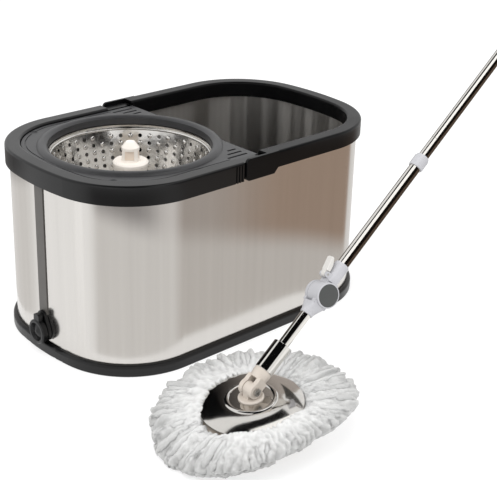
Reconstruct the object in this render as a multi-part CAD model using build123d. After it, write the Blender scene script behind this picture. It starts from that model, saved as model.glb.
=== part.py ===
"""Spin mop set: an oval steel bucket with a spinning wringer basket, and a mop on a press pole.

Millimetres, +Z up. The origin is the centre of the bucket's underside. +X runs along the
bucket from the basket end to the washing end, and -Y is the long side where the mop stands.
"""
import os
from math import atan2, cos, isclose, pi, radians, sin, sqrt

from build123d import *

# Gaps between pieces: seated faces, pressed pins, running fits and free ends
FACE_GAP = 0.1
PRESS_GAP = 0.02
RUNNING_GAP = 0.05
END_GAP = 0.2

# Bucket outline: straight sides, large corner arcs and gently bowed ends
RIM_LENGTH = 490.0
RIM_WIDTH = 298.4
CORNER_RADIUS = 112.0
END_RADIUS = 380.0

# Bucket heights and walls
BASE_HEIGHT = 15.0
TRAY_FLOOR = 6.0
TRAY_UPSTAND = 9.0
WALL_INSET = 5.5
WALL_THICKNESS = 1.2
WALL_FOOT = 7.5
WALL_TOP = 246.0
GROOVE_SLACK = 0.3
TRAY_SHOULDER_ROUND = 4.0
TRAY_FOOT_ROUND = 1.5

# Rim: a full channel round the basket end and a narrow cap under the handle
RIM_BOTTOM = 228.0
RIM_TOP = 253.0
RIM_BAND = 20.0
RIM_SKIN = 3.0
RIM_CROWN = 5.0
RIM_END_X = -38.5
CAP_OUTER = 4.7
CAP_INNER = 15.3
CAP_BOTTOM = 232.0
CAP_TOP = 250.5
BLOCK_END_X = -5.0
LEDGE_WIDTH = 4.5
LEDGE_Z = 238.0
LEDGE_HEIGHT = 3.0
RIB_XS = (-52.0, -47.5, -43.0)
RIB_WIDTH = 2.0
RIB_DEPTH = 1.5

# Swing handle
PIVOT_X = -19.5
PIVOT_Z = 241.0
PIVOT_RADIUS = 4.0
PIVOT_DEPTH = 12.0
PIVOT_HOLE_SLACK = 0.6
EAR_HALF = 14.5
EAR_THICKNESS = 4.0
EAR_FACE = 1.5
EAR_CORNER = 6.0
EAR_END_X = 14.0
EAR_STEP_X = 21.0
HANDLE_TOP = 255.5
HANDLE_BOTTOM = 234.0
HANDLE_INNER_BOTTOM = 235.5
HANDLE_SKIN = 2.2
HANDLE_CROWN = 3.3
HANDLE_START_X = 3.0
EDGE_ROUND = 1.0
CROWN_ROUND = 3.0

# Spin deck and its ring
BASKET_X = -99.4
RING_INNER = 105.0
RING_CREST = 110.5
RING_OUTER = 119.0
RING_TOP = 253.7
RING_BOTTOM = 242.0
RING_TAPER = 3.0
RING_SEAT = 1.0
DECK_TOP = 249.5
DECK_PLATE = 3.5
DECK_INSET = 21.0
DECK_SKIRT = 2.5
DECK_FOOT = 241.4
WEDGE_X = 3.0
WEDGE_BLEND = 22.0
GROOVE_INSET = 25.5
GROOVE_WIDTH = 1.4
GROOVE_DEPTH = 1.2
GROOVE_STOP = 1.0
VENT_ROWS = ((97.0, 14.0), (107.5, 23.0), (118.0, 32.0))
VENT_WIDTH = 3.6
VENT_RIGHT_X = -6.0
SCALLOPS = ((-196.0, -92.0), (-90.0, -127.0), (-170.0, 114.0))
SCALLOP_RADIUS = 9.0
SCALLOP_LIFT = 7.2

# Basket, its hub and the cradle that carries it
BOWL_TOP_RADIUS = 107.5
BOWL_LIP_RADIUS = 103.5
BOWL_TOP = 241.2
BOWL_SHOULDER = 236.0
BOWL_FLOOR_RADIUS = 84.0
BOWL_FLOOR = 160.0
BOWL_SHEET = 1.0
BOWL_EYE_RADIUS = 11.0
BOWL_HOLE_RADIUS = 2.6
BOWL_ROWS = (227.0, 217.5, 208.0, 198.5, 189.0, 179.5)
HOLES_PER_ROW = 24
DRILL_REACH = 6.0
HUB_BASE_RADIUS = 44.0
HUB_FOOT = 6.0
HUB_NECK = 3.0
HUB_NECK_DROP = 14.0
HUB_CHAMFER = 2.0
HUB_FLANGE_RADIUS = 23.0
HUB_FLANGE_Z = 228.0
HUB_FLANGE_HEIGHT = 5.0
HUB_POST_RADIUS = 11.5
HUB_POST_FLARE = 1.0
HUB_POST_Z = 246.0
HUB_APEX_RADIUS = 5.5
HUB_APEX_Z = 253.3
HUB_WINDOW = (12.0, 12.0)
HUB_WINDOW_RISE = 2.5
HUB_WINDOW_DEPTH = 2.2
HUB_WINDOW_REACH = 4.0
HUB_SCREW_CIRCLE = 33.0
HUB_SCREW_ANGLES = (90.0, 210.0, 330.0)
HUB_SCREW_RADIUS = 1.6
HUB_SCREW_HOLE = 2.1
HUB_SCREW_LENGTH = 6.0
HUB_SCREW_DEPTH = 7.0
HUB_SCREW_HEAD = (3.0, 3.6, 2.2)
HUB_SCREW_SLOT = (4.4, 0.8, 0.9)
SPINDLE_RADIUS = 4.0
SPINDLE_TOP = 214.0
SPINDLE_SEAT = 2.0
SPINDLE_END_GAP = 0.4
BUSH_RADIUS = 7.0
BUSH_FOOT = 156.0
BUSH_TOP = 220.0
CRADLE_BAR_Z = 138.0
CRADLE_BAR_HEIGHT = 7.0
CRADLE_BAR_WIDTH = 22.0
CRADLE_REACH = 117.0
CRADLE_STRAP = 4.0
CRADLE_BOSS_RADIUS = 14.0
CRADLE_BOSS_TOP = 152.0
WASHER_RADIUS = 10.0
THRUST_GAP = 0.3
QUARTER_ANGLES = (45.0, 135.0, 225.0, 315.0)
STUD_RADIUS = 1.2
STUD_SLACK = 0.05
STUD_DEPTH = 8.0
STUD_RISE = 3.0

# Drain at the foot of the basket end
DRAIN_Z = 31.0
DRAIN_FLANGE_RADIUS = 15.5
DRAIN_LOBE_RADIUS = 8.0
DRAIN_LOBE_RISE = 19.0
DRAIN_FLANGE = 4.3
DRAIN_STANDOFF = 0.5
DRAIN_GASKET = 2.0
DRAIN_TUBE_RADIUS = 8.0
DRAIN_BORE_RADIUS = 5.0
DRAIN_TUBE_LENGTH = 22.0
DRAIN_NUT_RADIUS = 13.0
DRAIN_NUT_LENGTH = 7.0
KNOB_RADIUS = 16.3
KNOB_LENGTH = 9.0
KNOB_STEM = 7.0
KNOB_GAP = 0.3
KNOB_EDGE = 1.5
KNOB_FACE = 4.0
KNOB_DISH = 6.0
KNOB_TIP = (2.0, 0.5)
KNOB_WING = (11.0, 24.5)
KNOB_WING_ROUND = 3.0
STRIP_WIDTH = 17.0
STRIP_FOOT = 54.0
STRIP_TOP = 242.0
STRIP_THICKNESS = 1.2

# Mop head, square to an axis that leans a little towards -X
PIN_PLACE = (-178.5, -317.7, 64.0)
HEAD_LEAN = 8.0
PIN_RISE = 20.0
PLATE_RADIUS = 60.0
PLATE_CROWN = 8.0
PLATE_SHEET = 1.2
PLATE_EYE = 6.0
PLATE_MID = (47.0, 2.9)
PLATE_UNDER = 0.2
BEAD_RADIUS = 28.0
BEAD_HALF = 3.0
BEAD_RISE = 1.4
BEAD_FALL = 0.6
CARRIER_RADIUS = 54.0
CARRIER_TOP = -2.0
CARRIER_BOTTOM = -8.0
CARRIER_SNAP = 5.0
CARRIER_BOSS_RADIUS = 12.0
REFILL_INNER = 34.0
REFILL_OUTER = 61.0
REFILL_THICKNESS = 5.0
REFILL_SLACK = 0.4
REFILL_CHAMFER = 1.5
PAD_RADIUS = 121.0
PAD_FOOT_RADIUS = 115.0
PAD_SHOULDER_RADIUS = 100.0
PAD_TOP = 52.0
PAD_WELL_RADIUS = 70.0
PAD_WELL_Z = 19.0
PAD_WELL_SLOPE = 4.0
PAD_INNER_DROP = 6.0
PAD_OUTER_DROP = 11.0
PAD_CROWN_RADIUS = 83.0
PAD_BULGE_Z = 20.8
BRACKET_FLANGE_RADIUS = 15.0
BRACKET_FLANGE = 2.4
BRACKET_CHAMFER = 1.5
BRACKET_THREAD_DEPTH = 7.0
HEAD_SCREW_RADIUS = 2.45
HEAD_SCREW_THREAD = 2.5
HEAD_SCREW_BORE = 2.6
HEAD_SCREW_HEAD = (4.8, 4.0)
HEAD_SCREW_WELL = 5.2
HEAD_SCREW_SLOT = (7.0, 1.2, 1.4)
HEAD_SCREW_END_GAP = 0.5
TONGUE_HALF = 4.2
TONGUE_RADIUS = 8.0
TILT_PIN_RADIUS = 2.5
TILT_PIN_TAIL = 3.2
TILT_HEAD = (4.6, 2.6)
TILT_SOCKET_RADIUS = 2.2
TILT_SOCKET_FLOOR = 1.0

# Pole: distances are measured along it from the tilt pin
POLE_TILT = 51.9
EAR_RADIUS = 9.0
YOKE_GAP = 4.6
YOKE_OUTER = 10.0
YOKE_BRIDGE = 12.5
YOKE_BRIDGE_RADIUS = 9.6
YOKE_CHEEK_HALF = 7.5
YOKE_CHEEK_ROOT = 2.0
YOKE_SHOULDER = 0.4
YOKE_TAPER = 4.0
SLEEVE_START = 25.0
SLEEVE_END = 62.0
SLEEVE_RADIUS = 11.25
SLEEVE_BORE = 10.0
SLEEVE_END_WALL = 1.5
SLEEVE_ROUND = 0.5
SPIGOT_END = 48.0
LOWER_TUBE_RADIUS = 6.5
LOWER_TUBE_START = 30.0
LOWER_TUBE_END = 120.5
TUBE_FOOT_GAP = 0.5
TUBE_SHEET = 0.8
SOCKET_START = 107.0
SOCKET_RADIUS = 8.0
SOCKET_CHAMFER = (0.6, 1.0)
SOCKET_NECK = 110.0
SOCKET_WEB = 121.3
SOCKET_WEB_HALF = 9.5
SOCKET_WEB_ROUND = 4.0
FOLD_AT = 137.0
FOLD_TWIST = -18.0
DRUM_RADIUS = 15.0
DRUM_FRONT = 15.5
DRUM_BACK = 14.5
DRUM_BACK_ROUND = 5.0
DRUM_BACK_INSET = 4.0
DRUM_FRONT_INSET = 3.0
CHEEK_INNER = 6.4
FOLD_TONGUE_RADIUS = 14.7
FOLD_TONGUE_HALF = 6.0
FOLD_WEB_HALF = 8.6
FOLD_WEB_OVERLAP = 3.0
FOLD_PIN_RADIUS = 3.0
FOLD_PIN_BACK = 3.0
FOLD_BORE_BACK = 2.0
FOLD_CAP_RADIUS = 13.3
FOLD_CAP_THICKNESS = 1.4
FOLD_CAP_SLACK = 0.15
FOLD_CAP_ROUND = 0.5
UPPER_SOCKET_START = 153.0
UPPER_SOCKET_END = 180.0
UPPER_SOCKET_RADIUS = 9.2
UPPER_SOCKET_CHAMFER = (0.8, 1.5)
LUG_GAP = 0.3
LUG_THICKNESS = 2.3
LUG_ROOT_X = 5.0
BARREL_GAP = 0.6
LEVER_AT = (12.0, 157.0)
LEVER_PIN_RADIUS = 1.5
LEVER_BARREL = 3.4
LEVER_HALF = 3.7
LEVER_WIDE_HALF = 5.4
LEVER_WIDE_START = 161.2
LEVER_TIP = 178.5
LEVER_TIP_ROUND = 4.0
LEVER_LEAN = 12.0
LEVER_UNDER = 1.4
LEVER_CROWN = (4.4, 3.0)
LEVER_NOSE = (1.6, 4.0)
LEVER_FLARE = 8.0
SPRING_THICKNESS = 0.4
SPRING_HALF = 2.0
SPRING_ENDS = (5.0, 10.0)
MID_TUBE_RADIUS = 7.3
MID_TUBE_START = 158.0
MID_TUBE_END = 334.0
MID_TUBE_SHEET = 0.6
COLLAR_START = 330.0
COLLAR_END = 347.0
COLLAR_RADIUS = 9.2
COLLAR_FOOT = (0.7, 2.0)
COLLAR_HEAD = (1.2, 3.0)
COLLAR_STOP_GAP = 0.3
UPPER_TUBE_RADIUS = 6.5
UPPER_TUBE_START = 291.0
TUBE_JOINT = 374.0
TUBE_JOINT_GAP = 0.5
TOP_TUBE_END = 1075.0
COUPLER_REACH = 24.0
COUPLER_WALL = 1.2
SCREW_SEAT_START = 182.0
SCREW_SEAT_LENGTH = 6.0
SCREW_FLOOR = 2.0
SCREW_TOP = 430.0
SCREW_SECTION = (7.0, 3.0)
SCREW_LEAD = 45.0
SCREW_STEP_ANGLE = 30.0
NUT_START = 296.0
NUT_LENGTH = 12.0
NUT_SLACK = 0.9
SCREW_SEAT_SLACK = 0.3
BUSH_START = 284.0
BUSH_LENGTH = 6.6
BUSH_BORE_SLACK = 0.4
GRIP_START = 930.0
GRIP_END = 1120.0
GRIP_RADIUS = 10.5
GRIP_RINGS = 14
GRIP_LIP = 2.0
GRIP_GROOVE = 0.8
GRIP_PROFILE = (0.12, 0.3)
GRIP_CAP_RADIUS = 9.5
GRIP_CAP_DISC = 4.0
GRIP_CAP_PLUG = 30.0
GRIP_TAIL_HALF = 9.0
GRIP_CAP_HALF = 5.0
HANG_HOLE_RADIUS = 4.0
HANG_HOLE_AT = 1137.0

# Reach of the boxes that only cut or pick a side, and of the cutters at the basket end
FAR = 1000.0
END_ZONE = 40.0


# Helpers

def plan(inset):
    """Face of the bucket's outline from above, drawn in by inset."""
    end_x = RIM_LENGTH / 2 - END_RADIUS
    corner_y = RIM_WIDTH / 2 - CORNER_RADIUS
    corner_x = end_x + sqrt((END_RADIUS - CORNER_RADIUS) ** 2 - corner_y ** 2)
    turn = atan2(corner_y, corner_x - end_x)
    radius = CORNER_RADIUS - inset

    def corner(sx, sy, angle):
        return (sx * (corner_x + radius * cos(angle)), sy * (corner_y + radius * sin(angle)))

    half = (turn + pi / 2) / 2
    tip = end_x + END_RADIUS - inset
    edges = [Line(corner(-1, -1, pi / 2), corner(1, -1, pi / 2))]
    edges.append(ThreePointArc(corner(1, -1, pi / 2), corner(1, -1, half), corner(1, -1, turn)))
    edges.append(ThreePointArc(corner(1, -1, turn), (tip, 0), corner(1, 1, turn)))
    edges.append(ThreePointArc(corner(1, 1, turn), corner(1, 1, half), corner(1, 1, pi / 2)))
    edges.append(Line(corner(1, 1, pi / 2), corner(-1, 1, pi / 2)))
    edges.append(ThreePointArc(corner(-1, 1, pi / 2), corner(-1, 1, half), corner(-1, 1, turn)))
    edges.append(ThreePointArc(corner(-1, 1, turn), (-tip, 0), corner(-1, -1, turn)))
    edges.append(ThreePointArc(corner(-1, -1, turn), corner(-1, -1, half), corner(-1, -1, pi / 2)))
    return make_face(edges)


def slab(inset, low, high):
    """Solid on the bucket's outline between two heights."""
    return Pos(0, 0, low) * extrude(plan(inset), high - low)


def band(outer, inner, low, high):
    """Ring between two insets of the outline and two heights."""
    return Pos(0, 0, low) * extrude(plan(outer) - plan(inner), high - low)


def block(x0, x1, y0, y1, z0, z1):
    """Box between two corners."""
    return Pos((x0 + x1) / 2, (y0 + y1) / 2, (z0 + z1) / 2) * Box(x1 - x0, y1 - y0, z1 - z0)


def turned(*points):
    """Solid of revolution about Z from (radius, height) points."""
    return revolve(Plane.XZ * make_face(Polyline(*points, close=True)), Axis.Z)


def ring(outer, inner, low, high):
    """Plain tube about Z."""
    return turned((inner, low), (outer, low), (outer, high), (inner, high))


def rod(radius, low, high):
    """Plain cylinder about Z."""
    return Pos(0, 0, (low + high) / 2) * Cylinder(radius, high - low)


def crosswise(radius, low, high, x=0.0, z=0.0):
    """Cylinder along Y between two Y values."""
    return Pos(x, (low + high) / 2, z) * Rot(90, 0, 0) * Cylinder(radius, high - low)


def lengthwise(radius, low, high, y=0.0, z=0.0):
    """Cylinder along X between two X values."""
    return Pos((low + high) / 2, y, z) * Rot(0, 90, 0) * Cylinder(radius, high - low)


def slot_cut(size, low):
    """Straight screwdriver slot of a given length, width and depth, from a low face upwards."""
    length, width, depth = size
    return block(-length / 2, length / 2, -width / 2, width / 2, low, low + depth)


def circles(edges):
    """The round edges among some edges."""
    return edges.filter_by(GeomType.CIRCLE)


def soften(solid, radius, picked):
    """Round the picked edges of a solid."""
    return fillet(picked(solid.edges()), radius)


BASKET = Pos(BASKET_X, 0, 0)
SIDE_Y = RIM_WIDTH / 2
END_X = -RIM_LENGTH / 2
DRAIN_FACE_X = END_X + WALL_INSET - DRAIN_STANDOFF
DRAIN_INSIDE_X = END_X + WALL_INSET + WALL_THICKNESS + DRAIN_STANDOFF
TILT = radians(POLE_TILT)
POLE = Plane(origin=PIN_PLACE, x_dir=(-cos(TILT), 0, sin(TILT)), z_dir=(sin(TILT), 0, cos(TILT)))
FOLD = POLE.location * Rot(0, 0, FOLD_TWIST)
LEVER = FOLD * Pos(LEVER_AT[0], 0, LEVER_AT[1]) * Rot(0, LEVER_LEAN, 0) * Pos(-LEVER_AT[0], 0, -LEVER_AT[1])
LEAN = radians(HEAD_LEAN)
HEAD_AXIS = Vector(-sin(LEAN), 0, cos(LEAN))
HEAD_PLACE = Vector(*PIN_PLACE) - HEAD_AXIS * PIN_RISE
HEAD = Plane(origin=HEAD_PLACE, x_dir=(cos(LEAN), 0, sin(LEAN)), z_dir=HEAD_AXIS)


# Bucket shell

def base_tray():
    """Shallow moulded tray with a groove that takes the foot of the steel band."""
    tray = slab(0, 0, BASE_HEIGHT)
    tray = soften(tray, TRAY_SHOULDER_ROUND, lambda e: e.group_by(Axis.Z)[-1])
    tray = soften(tray, TRAY_FOOT_ROUND, lambda e: e.group_by(Axis.Z)[0])
    tray -= slab(TRAY_UPSTAND, TRAY_FLOOR, BASE_HEIGHT)
    groove_in = WALL_INSET - GROOVE_SLACK
    groove_out = WALL_INSET + WALL_THICKNESS + GROOVE_SLACK
    return tray - band(groove_in, groove_out, TRAY_FLOOR, BASE_HEIGHT)


def wall_gasket():
    """Sealing cord in the bottom of the tray's groove."""
    return band(WALL_INSET, WALL_INSET + WALL_THICKNESS, TRAY_FLOOR, WALL_FOOT)


def steel_wall():
    """One sheet-steel band, holed for the drain and for the two handle pivots."""
    wall = band(WALL_INSET, WALL_INSET + WALL_THICKNESS, WALL_FOOT, WALL_TOP)
    wall -= lengthwise(DRAIN_TUBE_RADIUS + DRAIN_STANDOFF, END_X, END_X + END_ZONE, z=DRAIN_Z)
    return wall - crosswise(PIVOT_RADIUS + PIVOT_HOLE_SLACK, -SIDE_Y, SIDE_Y, PIVOT_X, PIVOT_Z)


def seam_strip():
    """Flat moulding that covers the weld of the steel band."""
    cover = band(WALL_INSET - STRIP_THICKNESS - FACE_GAP, WALL_INSET - FACE_GAP, STRIP_FOOT, STRIP_TOP)
    strip = cover & block(END_X, END_X + END_ZONE, -STRIP_WIDTH / 2, STRIP_WIDTH / 2, 0, FAR)
    return strip - lengthwise(DRAIN_LOBE_RADIUS + FACE_GAP, END_X, END_X + END_ZONE, z=DRAIN_Z + DRAIN_LOBE_RISE)


def rim():
    """Black top rim, full width round the basket and a narrow cap under the handle."""
    full = band(0, RIM_BAND, RIM_BOTTOM, RIM_TOP)
    full = soften(full, CROWN_ROUND, lambda e: e.group_by(Axis.Z)[-1])
    left = block(-FAR, RIM_END_X, -FAR, FAR, 0, FAR)
    hollow = block(-FAR, RIM_END_X - RIM_SKIN, -FAR, FAR, 0, FAR)
    full = full & left
    full -= band(RIM_SKIN, RIM_BAND - RIM_SKIN, RIM_BOTTOM, RIM_TOP - RIM_CROWN) & hollow
    full += band(RIM_BAND - RIM_SKIN, RIM_BAND + LEDGE_WIDTH, LEDGE_Z, LEDGE_Z + LEDGE_HEIGHT) & left
    cap = band(CAP_OUTER, CAP_INNER, CAP_BOTTOM, CAP_TOP)
    cap = cap & block(RIM_END_X - RIM_SKIN, FAR, -FAR, FAR, 0, FAR)
    shoulder = band(CAP_OUTER, RIM_BAND, CAP_BOTTOM, CAP_TOP)
    shoulder = shoulder & block(RIM_END_X - RIM_SKIN, BLOCK_END_X, -FAR, FAR, 0, FAR)
    whole = full + cap + shoulder
    groove_in = WALL_INSET - GROOVE_SLACK
    groove_out = WALL_INSET + WALL_THICKNESS + GROOVE_SLACK
    whole -= band(groove_in, groove_out, RIM_BOTTOM, WALL_TOP + GROOVE_SLACK)
    for x in RIB_XS:
        for side in (-1, 1):
            y0, y1 = sorted((side * SIDE_Y, side * (SIDE_Y - RIB_DEPTH)))
            whole -= block(x, x + RIB_WIDTH, y0, y1, RIM_BOTTOM, RIM_TOP - CROWN_ROUND)
    bore = crosswise(PIVOT_RADIUS, -SIDE_Y, PIVOT_DEPTH - SIDE_Y, PIVOT_X, PIVOT_Z)
    return whole - bore - mirror(bore, Plane.XZ)


def handle_bail():
    """Carry handle: a channel that lies over the rim, with an ear at each pivot."""
    bar = band(0, RIM_BAND, HANDLE_BOTTOM, HANDLE_TOP)
    bar = soften(bar, CROWN_ROUND, lambda e: e.group_by(Axis.Z)[-1])
    bar -= band(HANDLE_SKIN, RIM_BAND - HANDLE_SKIN, HANDLE_BOTTOM, HANDLE_TOP - HANDLE_CROWN)
    bar -= band(RIM_BAND - HANDLE_SKIN, RIM_BAND, HANDLE_BOTTOM, HANDLE_INNER_BOTTOM)
    bar = bar & block(HANDLE_START_X, FAR, -FAR, FAR, 0, FAR)
    low, high = PIVOT_Z - EAR_HALF, PIVOT_Z + EAR_HALF
    outline = Polyline((PIVOT_X - EAR_HALF, low), (EAR_END_X, low), (EAR_STEP_X, HANDLE_BOTTOM),
                       (EAR_STEP_X, high), (PIVOT_X - EAR_HALF, high), close=True)
    ear_face = make_face(outline)
    ear_face = fillet(ear_face.vertices().group_by(Axis.X)[0], EAR_CORNER)
    ear = extrude(Plane.XZ * ear_face, EAR_THICKNESS)
    blind = EAR_THICKNESS - EAR_FACE
    front = Pos(0, EAR_THICKNESS - SIDE_Y, 0) * ear
    front -= crosswise(PIVOT_RADIUS + RUNNING_GAP, EAR_THICKNESS - blind - SIDE_Y,
                       EAR_THICKNESS - SIDE_Y, PIVOT_X, PIVOT_Z)
    back = Pos(0, SIDE_Y, 0) * ear
    back -= crosswise(PIVOT_RADIUS + RUNNING_GAP, SIDE_Y - EAR_THICKNESS,
                      SIDE_Y - EAR_THICKNESS + blind, PIVOT_X, PIVOT_Z)
    for ear_piece in (front, back):
        bar += soften(ear_piece, EDGE_ROUND, outer_ear_edges)
    return bar


def outer_ear_edges(edges):
    """Edges of an ear's outside face."""
    return edges.filter_by(lambda e: abs(e.center().Y) > SIDE_Y - FACE_GAP)


def handle_pivots():
    """Two short steel pins pressed into the rim."""
    pin = crosswise(PIVOT_RADIUS, EAR_FACE + END_GAP - SIDE_Y, PIVOT_DEPTH - SIDE_Y, PIVOT_X, PIVOT_Z)
    return pin + mirror(pin, Plane.XZ)


# Spin deck and basket

def spin_deck():
    """Moulded deck over the basket end, with a raised ring and two vented wedges."""
    ring_disc = BASKET * Circle(RING_OUTER)
    left = Pos(END_X, 0, 0) * Rectangle(2 * (WEDGE_X - END_X), FAR)
    outline = (plan(DECK_INSET) & left) + (plan(DECK_INSET) & ring_disc)
    corners = [v for v in outline.vertices() if isclose(v.X, WEDGE_X, abs_tol=FACE_GAP)]
    notches = [v for v in corners if abs(v.Y) < RING_INNER]
    outline = fillet(notches, WEDGE_BLEND)
    opening = BASKET * Circle(RING_INNER)
    deck = Pos(0, 0, DECK_TOP - DECK_PLATE) * extrude(outline - opening, DECK_PLATE)
    skirt = band(DECK_INSET, DECK_INSET + DECK_SKIRT, DECK_FOOT, DECK_TOP)
    deck += skirt & block(END_X, RIM_END_X, -FAR, FAR, 0, FAR)
    lip_low = (RING_INNER, RING_BOTTOM)
    lip_high = (RING_INNER, RING_TOP - RING_TAPER)
    lip_side = (RING_OUTER, DECK_TOP - RING_SEAT)
    lip = Polyline(lip_high, lip_low, (RING_OUTER - RING_TAPER, RING_BOTTOM), lip_side)
    crest = ThreePointArc(lip_side, (RING_CREST, RING_TOP), lip_high)
    lip_face = make_face([lip, crest])
    deck += BASKET * revolve(Plane.XZ * lip_face, Axis.Z)
    groove = band(GROOVE_INSET, GROOVE_INSET + GROOVE_WIDTH, DECK_TOP - GROOVE_DEPTH, DECK_TOP)
    groove = groove & block(END_X, RIM_END_X, -FAR, FAR, 0, FAR)
    deck -= groove - BASKET * rod(RING_OUTER + GROOVE_STOP, 0, FAR)
    for y, length in VENT_ROWS:
        for side in (-1, 1):
            x0 = VENT_RIGHT_X - length
            deck -= block(x0, VENT_RIGHT_X, side * y - VENT_WIDTH / 2, side * y + VENT_WIDTH / 2,
                          DECK_FOOT, DECK_TOP)
    deck -= BASKET * strap_studs(STUD_RADIUS + STUD_SLACK, 0, STUD_RISE + STUD_SLACK)
    for x, y in SCALLOPS:
        deck -= Pos(x, y, DECK_TOP + SCALLOP_LIFT) * Sphere(SCALLOP_RADIUS)
    return deck


def basket_cradle():
    """Cross of straps that hangs under the deck and carries the spindle."""
    cradle = rod(CRADLE_BOSS_RADIUS, CRADLE_BAR_Z, CRADLE_BOSS_TOP)
    for angle in QUARTER_ANGLES:
        bar = block(0, CRADLE_REACH, -CRADLE_BAR_WIDTH / 2, CRADLE_BAR_WIDTH / 2,
                    CRADLE_BAR_Z, CRADLE_BAR_Z + CRADLE_BAR_HEIGHT)
        strap = block(CRADLE_REACH - CRADLE_STRAP, CRADLE_REACH, -CRADLE_BAR_WIDTH / 2,
                      CRADLE_BAR_WIDTH / 2, CRADLE_BAR_Z, RING_BOTTOM)
        cradle += Rot(0, 0, angle) * (bar + strap)
    cradle -= strap_studs(STUD_RADIUS + STUD_SLACK, STUD_DEPTH + STUD_SLACK, 0)
    return BASKET * (cradle - rod(SPINDLE_RADIUS, CRADLE_BAR_Z + SPINDLE_SEAT, CRADLE_BOSS_TOP))


def strap_studs(radius, depth, rise):
    """One rod at the top of each strap, from depth below the ring to rise above its underside."""
    group = Part()
    for angle in QUARTER_ANGLES:
        stud = rod(radius, RING_BOTTOM - depth, RING_BOTTOM + rise)
        group += Rot(0, 0, angle) * Pos(CRADLE_REACH - CRADLE_STRAP / 2, 0, 0) * stud
    return group


def basket_bowl():
    """Perforated steel bowl with a plain rolled lip."""
    outer = ((BOWL_TOP_RADIUS, BOWL_TOP), (BOWL_TOP_RADIUS, BOWL_TOP - BOWL_SHEET),
             (BOWL_LIP_RADIUS + BOWL_SHEET, BOWL_TOP - BOWL_SHEET),
             (BOWL_LIP_RADIUS + BOWL_SHEET, BOWL_SHOULDER),
             (BOWL_FLOOR_RADIUS + BOWL_SHEET, BOWL_FLOOR - BOWL_SHEET),
             (BOWL_EYE_RADIUS, BOWL_FLOOR - BOWL_SHEET))
    inner = ((BOWL_EYE_RADIUS, BOWL_FLOOR), (BOWL_FLOOR_RADIUS, BOWL_FLOOR),
             (BOWL_LIP_RADIUS, BOWL_SHOULDER), (BOWL_LIP_RADIUS, BOWL_TOP))
    bowl = turned(*outer, *inner)
    slope = (BOWL_LIP_RADIUS - BOWL_FLOOR_RADIUS) / (BOWL_SHOULDER - BOWL_FLOOR)
    step = 360.0 / HOLES_PER_ROW
    drills = []
    for row, z in enumerate(BOWL_ROWS):
        radius = BOWL_FLOOR_RADIUS + slope * (z - BOWL_FLOOR)
        drill = lengthwise(BOWL_HOLE_RADIUS, radius - DRILL_REACH, radius + DRILL_REACH, z=z)
        for place in range(HOLES_PER_ROW):
            drills.append(Rot(0, 0, step * (place + row % 2 / 2)) * drill)
    bowl = bowl.cut(*drills)
    hole = rod(HUB_SCREW_HOLE, BOWL_FLOOR - DRILL_REACH, BOWL_FLOOR + DRILL_REACH)
    for angle in HUB_SCREW_ANGLES:
        bowl -= Rot(0, 0, angle) * Pos(HUB_SCREW_CIRCLE, 0, 0) * hole
    return BASKET * bowl


def basket_hub():
    """Hollow plastic cone in the basket, with a stepped post that centres the mop plate."""
    seat = BOWL_FLOOR + FACE_GAP
    cone_top = HUB_FLANGE_Z - HUB_FLANGE_HEIGHT
    hub = turned((0, seat), (HUB_BASE_RADIUS, seat), (HUB_BASE_RADIUS, seat + HUB_FOOT),
                 (HUB_FLANGE_RADIUS - HUB_NECK, cone_top - HUB_NECK_DROP),
                 (HUB_FLANGE_RADIUS, cone_top), (HUB_FLANGE_RADIUS, HUB_FLANGE_Z - HUB_CHAMFER),
                 (HUB_FLANGE_RADIUS - HUB_CHAMFER, HUB_FLANGE_Z),
                 (HUB_POST_RADIUS + HUB_POST_FLARE, HUB_FLANGE_Z), (HUB_POST_RADIUS, HUB_POST_Z),
                 (HUB_APEX_RADIUS, HUB_APEX_Z), (0, HUB_APEX_Z))
    width, height = HUB_WINDOW
    sill = HUB_FLANGE_Z + HUB_WINDOW_RISE
    window = block(HUB_POST_RADIUS - HUB_WINDOW_DEPTH, HUB_POST_RADIUS + HUB_WINDOW_REACH,
                   -width / 2, width / 2, sill, sill + height)
    for angle in QUARTER_ANGLES:
        hub -= Rot(0, 0, angle) * window
    hub -= rod(BUSH_RADIUS, BUSH_FOOT, BUSH_TOP)
    thread = rod(HUB_SCREW_RADIUS, BOWL_FLOOR, seat + HUB_SCREW_DEPTH)
    for angle in HUB_SCREW_ANGLES:
        hub -= Rot(0, 0, angle) * Pos(HUB_SCREW_CIRCLE, 0, 0) * thread
    return BASKET * hub


def hub_bush():
    """Nylon bush pressed into the hub, closed at the top, that turns on the spindle."""
    bush = rod(BUSH_RADIUS, BUSH_FOOT, BUSH_TOP)
    return BASKET * (bush - rod(SPINDLE_RADIUS + RUNNING_GAP, BUSH_FOOT, SPINDLE_TOP + SPINDLE_END_GAP))


def hub_screws():
    """Three screws up through the bowl's floor into the hub."""
    crown, brim, height = HUB_SCREW_HEAD
    seat = BOWL_FLOOR - BOWL_SHEET - FACE_GAP
    screw = rod(HUB_SCREW_RADIUS, seat - FACE_GAP, BOWL_FLOOR + HUB_SCREW_LENGTH)
    screw += turned((0, seat - height), (crown, seat - height), (brim, seat), (0, seat))
    screw -= slot_cut(HUB_SCREW_SLOT, seat - height)
    group = Part()
    for angle in HUB_SCREW_ANGLES:
        group += Rot(0, 0, angle) * Pos(HUB_SCREW_CIRCLE, 0, 0) * screw
    return BASKET * group


def cradle_screws():
    """Four headless screws that hold the cradle's straps to the ring."""
    return BASKET * strap_studs(STUD_RADIUS, STUD_DEPTH, STUD_RISE)


def spindle_pin():
    """Steel spindle that the basket turns on."""
    return BASKET * rod(SPINDLE_RADIUS, CRADLE_BAR_Z + SPINDLE_SEAT, SPINDLE_TOP)


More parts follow.
